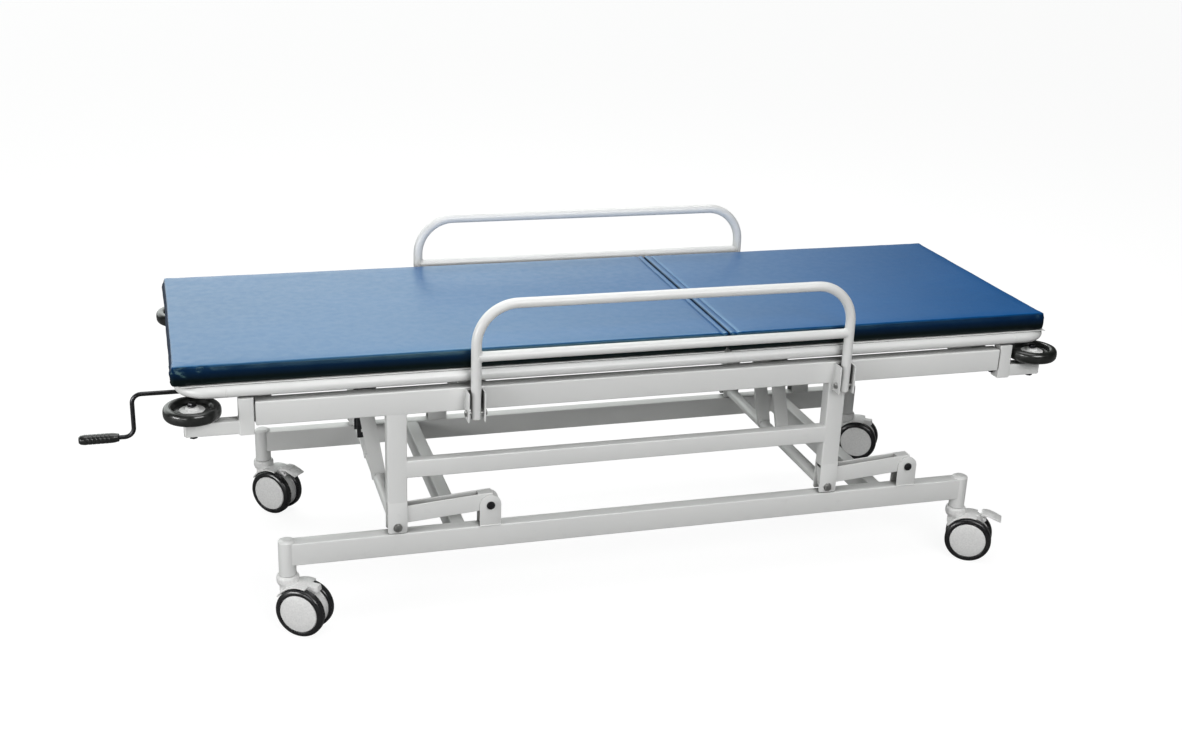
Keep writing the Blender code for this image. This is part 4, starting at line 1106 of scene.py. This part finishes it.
def undercut(made, plane):
    """Slopes the seat's end back under its top edge, where the raised back deck's sheet swings in."""
    points = vertex_values(made)
    near_end = np.clip((points[:, 0] - plane) / 0.04 + 1, 0, 1)
    depth = 1 - np.clip((points[:, 2] - SEAT_LOW.z) / 0.024, 0, 1)
    points[:, 0] -= near_end * depth * 0.0065
    set_vertices(made, points)


def mark_top(made, low, high):
    """Stores how far each point faces up and how high it is, at rest, for the vinyl's painted side shade to
    read at any pose.
    """
    facing = vertex_values(made, "normal")[:, 2]
    heights = (vertex_values(made)[:, 2] - low.z) / (high.z - low.z)
    shares = {"top_share": (facing - 0.55) / 0.38, "height_share": heights}
    for name, values in shares.items():
        attribute = made.data.attributes.new(name, "FLOAT", "POINT")
        attribute.data.foreach_set("value", np.clip(values, 0, 1))


def groove(made, x, depth, width):
    """Draws the cover down along a sewn line across the bed."""
    points = vertex_values(made)
    top = points[:, 2] > SEAT_HIGH.z - 0.016
    points[:, 2] -= np.exp(-((points[:, 0] - x) / width) ** 2) * top * depth
    set_vertices(made, points)


def stitches(name, surface, x):
    """A row of sewn stitches across the cover, laid on its surface."""
    tree = BVHTree.FromObject(surface, bpy.context.evaluated_depsgraph_get())
    pitch = 0.0075
    width = (SEAT_HIGH.y - SEAT_LOW.y) / 2 - 0.022
    shapes = []
    for index in range(int(2 * width / pitch)):
        y = -width + (index + 0.5) * pitch
        ends = []
        for offset in (-0.0022, 0.0022):
            nearest = tree.find_nearest(Vector((x, y + offset, SEAT_HIGH.z)))[0]
            ends.append(nearest + Vector((0, 0, 0.0001)))
        shapes.append(rod(ends[0], ends[1], 0.00055, 8, 0.0003))
    return piece(name, shapes, THREAD)


def mattress_section(node, low, high, crumples, split_way, seam_x):
    """One section's cover and its stitches; split_way is 1 where the split is at its +X end, else -1."""
    made = foam_block(f"{node}_cover", low, high)
    swell(made)
    subdivide(made)
    finish_cover(made, low, high, crumples)
    plane = HINGE.x - split_way * SEAM_GAP / 2
    square_end(made, plane, split_way * 0.014)
    if split_way > 0:
        undercut(made, plane)
    mark_top(made, low, high)
    groove(made, seam_x, 0.0016, 0.0035)
    made.data.shade_smooth()
    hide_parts(node)
    sewn = stitches(f"{node}_stitches", made, seam_x)
    made.data.transform(Matrix.Translation(OFFSET))
    return made, sewn


def mattress():
    sides = (SEAT_LOW.y, SEAT_HIGH.y)
    foot_crumples = [(Vector((SEAT_LOW.x, y, CRUMPLE_Z)), strength) for y, strength in zip(sides, (2.4, 1))]
    head_crumples = [(Vector((BACK_HIGH.x, y, CRUMPLE_Z)), 0.9) for y in sides]
    seat_end = Vector((HINGE.x - 0.0012, SEAT_HIGH.y, SEAT_HIGH.z))
    for made in mattress_section("mattress_seat", SEAT_LOW, seat_end, foot_crumples, 1, HINGE.x - 0.016):
        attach(made, "bed_frame")
    back_start = Vector((HINGE.x + 0.0012, BACK_LOW.y, BACK_LOW.z))
    for made in mattress_section("mattress_back", back_start, BACK_HIGH, head_crumples, -1, HINGE.x + 0.018):
        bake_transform(made)


# -------- studio
def area_light(name, at, aim, size, power):
    data = bpy.data.lights.new(name, "AREA")
    light = in_scene(name, configured(data, shape="RECTANGLE", size=size[0], size_y=size[1], energy=power))
    light.location = Vector(at) + OFFSET
    light.rotation_euler = (Vector(aim) - Vector(at)).to_track_quat("-Z", "Y").to_euler()


def studio_world():
    """White to the camera; elsewhere a soft wall of light behind the foot end, dimmer to the head end."""
    world = bpy.data.worlds.new("studio")
    bpy.context.scene.world = world
    world.use_nodes = True
    world.node_tree.nodes.clear()
    nodes = Nodes(world.node_tree)
    outward = nodes.add("ShaderNodeTexCoord").outputs["Generated"]
    facing = nodes.add("ShaderNodeVectorMath", {0: outward, 1: Vector((-0.3, 0.9, 0.31)).normalized()},
                       operation="DOT_PRODUCT")
    limits = {"From Min": 0.62, "From Max": 0.95, "To Min": 0.035, "To Max": 1.6}
    glow = nodes.add("ShaderNodeMapRange", {"Value": facing.outputs["Value"], **limits},
                     interpolation_type="SMOOTHSTEP").outputs["Result"]
    lit = nodes.add("ShaderNodeBackground", {"Color": (0.95, 1, 0.97), "Strength": glow})
    seen = nodes.add("ShaderNodeBackground", {"Color": (1, 1, 1)})
    to_camera = nodes.add("ShaderNodeLightPath").outputs["Is Camera Ray"]
    mix = nodes.add("ShaderNodeMixShader", {0: to_camera, 1: lit.outputs[0], 2: seen.outputs[0]})
    nodes.add("ShaderNodeOutputWorld", {"Surface": mix.outputs[0]})


def floor():
    """A pale floor that stays near white, with a faint soft shadow."""
    skin = Finish("studio_floor", (0.15, 0.15, 0.15), 0.9)
    skin.put({"Emission Color": (1, 1, 1)})
    camera_ray = skin.add("ShaderNodeLightPath").outputs["Is Camera Ray"]
    skin.put({"Emission Strength": skin.span(camera_ray, 0, 0.9, 0, 1)})
    shape = bmesh.new()
    bmesh.ops.create_grid(shape, x_segments=8, y_segments=8, size=40)
    linked("floor", shape, skin.material)


def camera():
    """The viewing angle: past the near foot corner, looking down on the mattress."""
    made = in_scene("camera", configured(bpy.data.cameras.new("camera"), sensor_width=36, lens=45.21))
    made.location = Vector((-0.9975, -3.076, 1.6288)) + OFFSET
    turn = (Matrix.Rotation(math.radians(-17.19), 4, "Z") @ Matrix.Rotation(math.radians(69.62), 4, "X")
            @ Matrix.Rotation(math.radians(2.28), 4, "Z"))
    made.rotation_euler = turn.to_euler()
    bpy.context.scene.camera = made


def studio():
    bpy.context.scene.view_settings.view_transform = "Standard"
    studio_world()
    floor()
    for name, at, aim, size, power in (
            ("top", (-0.4, -0.4, 3.4), (0, 0, 0.4), (3.2, 2.2), 50),
            ("front", (0.7, -3.6, 2.5), (0.3, -0.3, 0.3), (2.4, 1.4), 84),
            ("back", (0.8, 2.4, 3.6), (0.1, 0, 0.3), (2, 1.2), 40),
            ("foot", (-3.5, -1.4, 0.9), (-0.5, 0, 0.2), (1.4, 0.9), 46),
            ("low", (-2.6, -2.8, 0.7), (-0.6, 0.1, 0.15), (1, 0.6), 9)):
        area_light(f"softbox_{name}", at, aim, size, power)
    camera()


def main():
    base_frame()
    for end in ENDS:
        lift_arm(end)
    fasteners()
    screw_thread()
    crank()
    upper_frame()
    bed_tube()
    for end, side in CORNERS:
        bumper(end, side)
    for side in SIDES:
        side_rail(side)
    decks()
    casters()
    mattress()
    studio()


main()
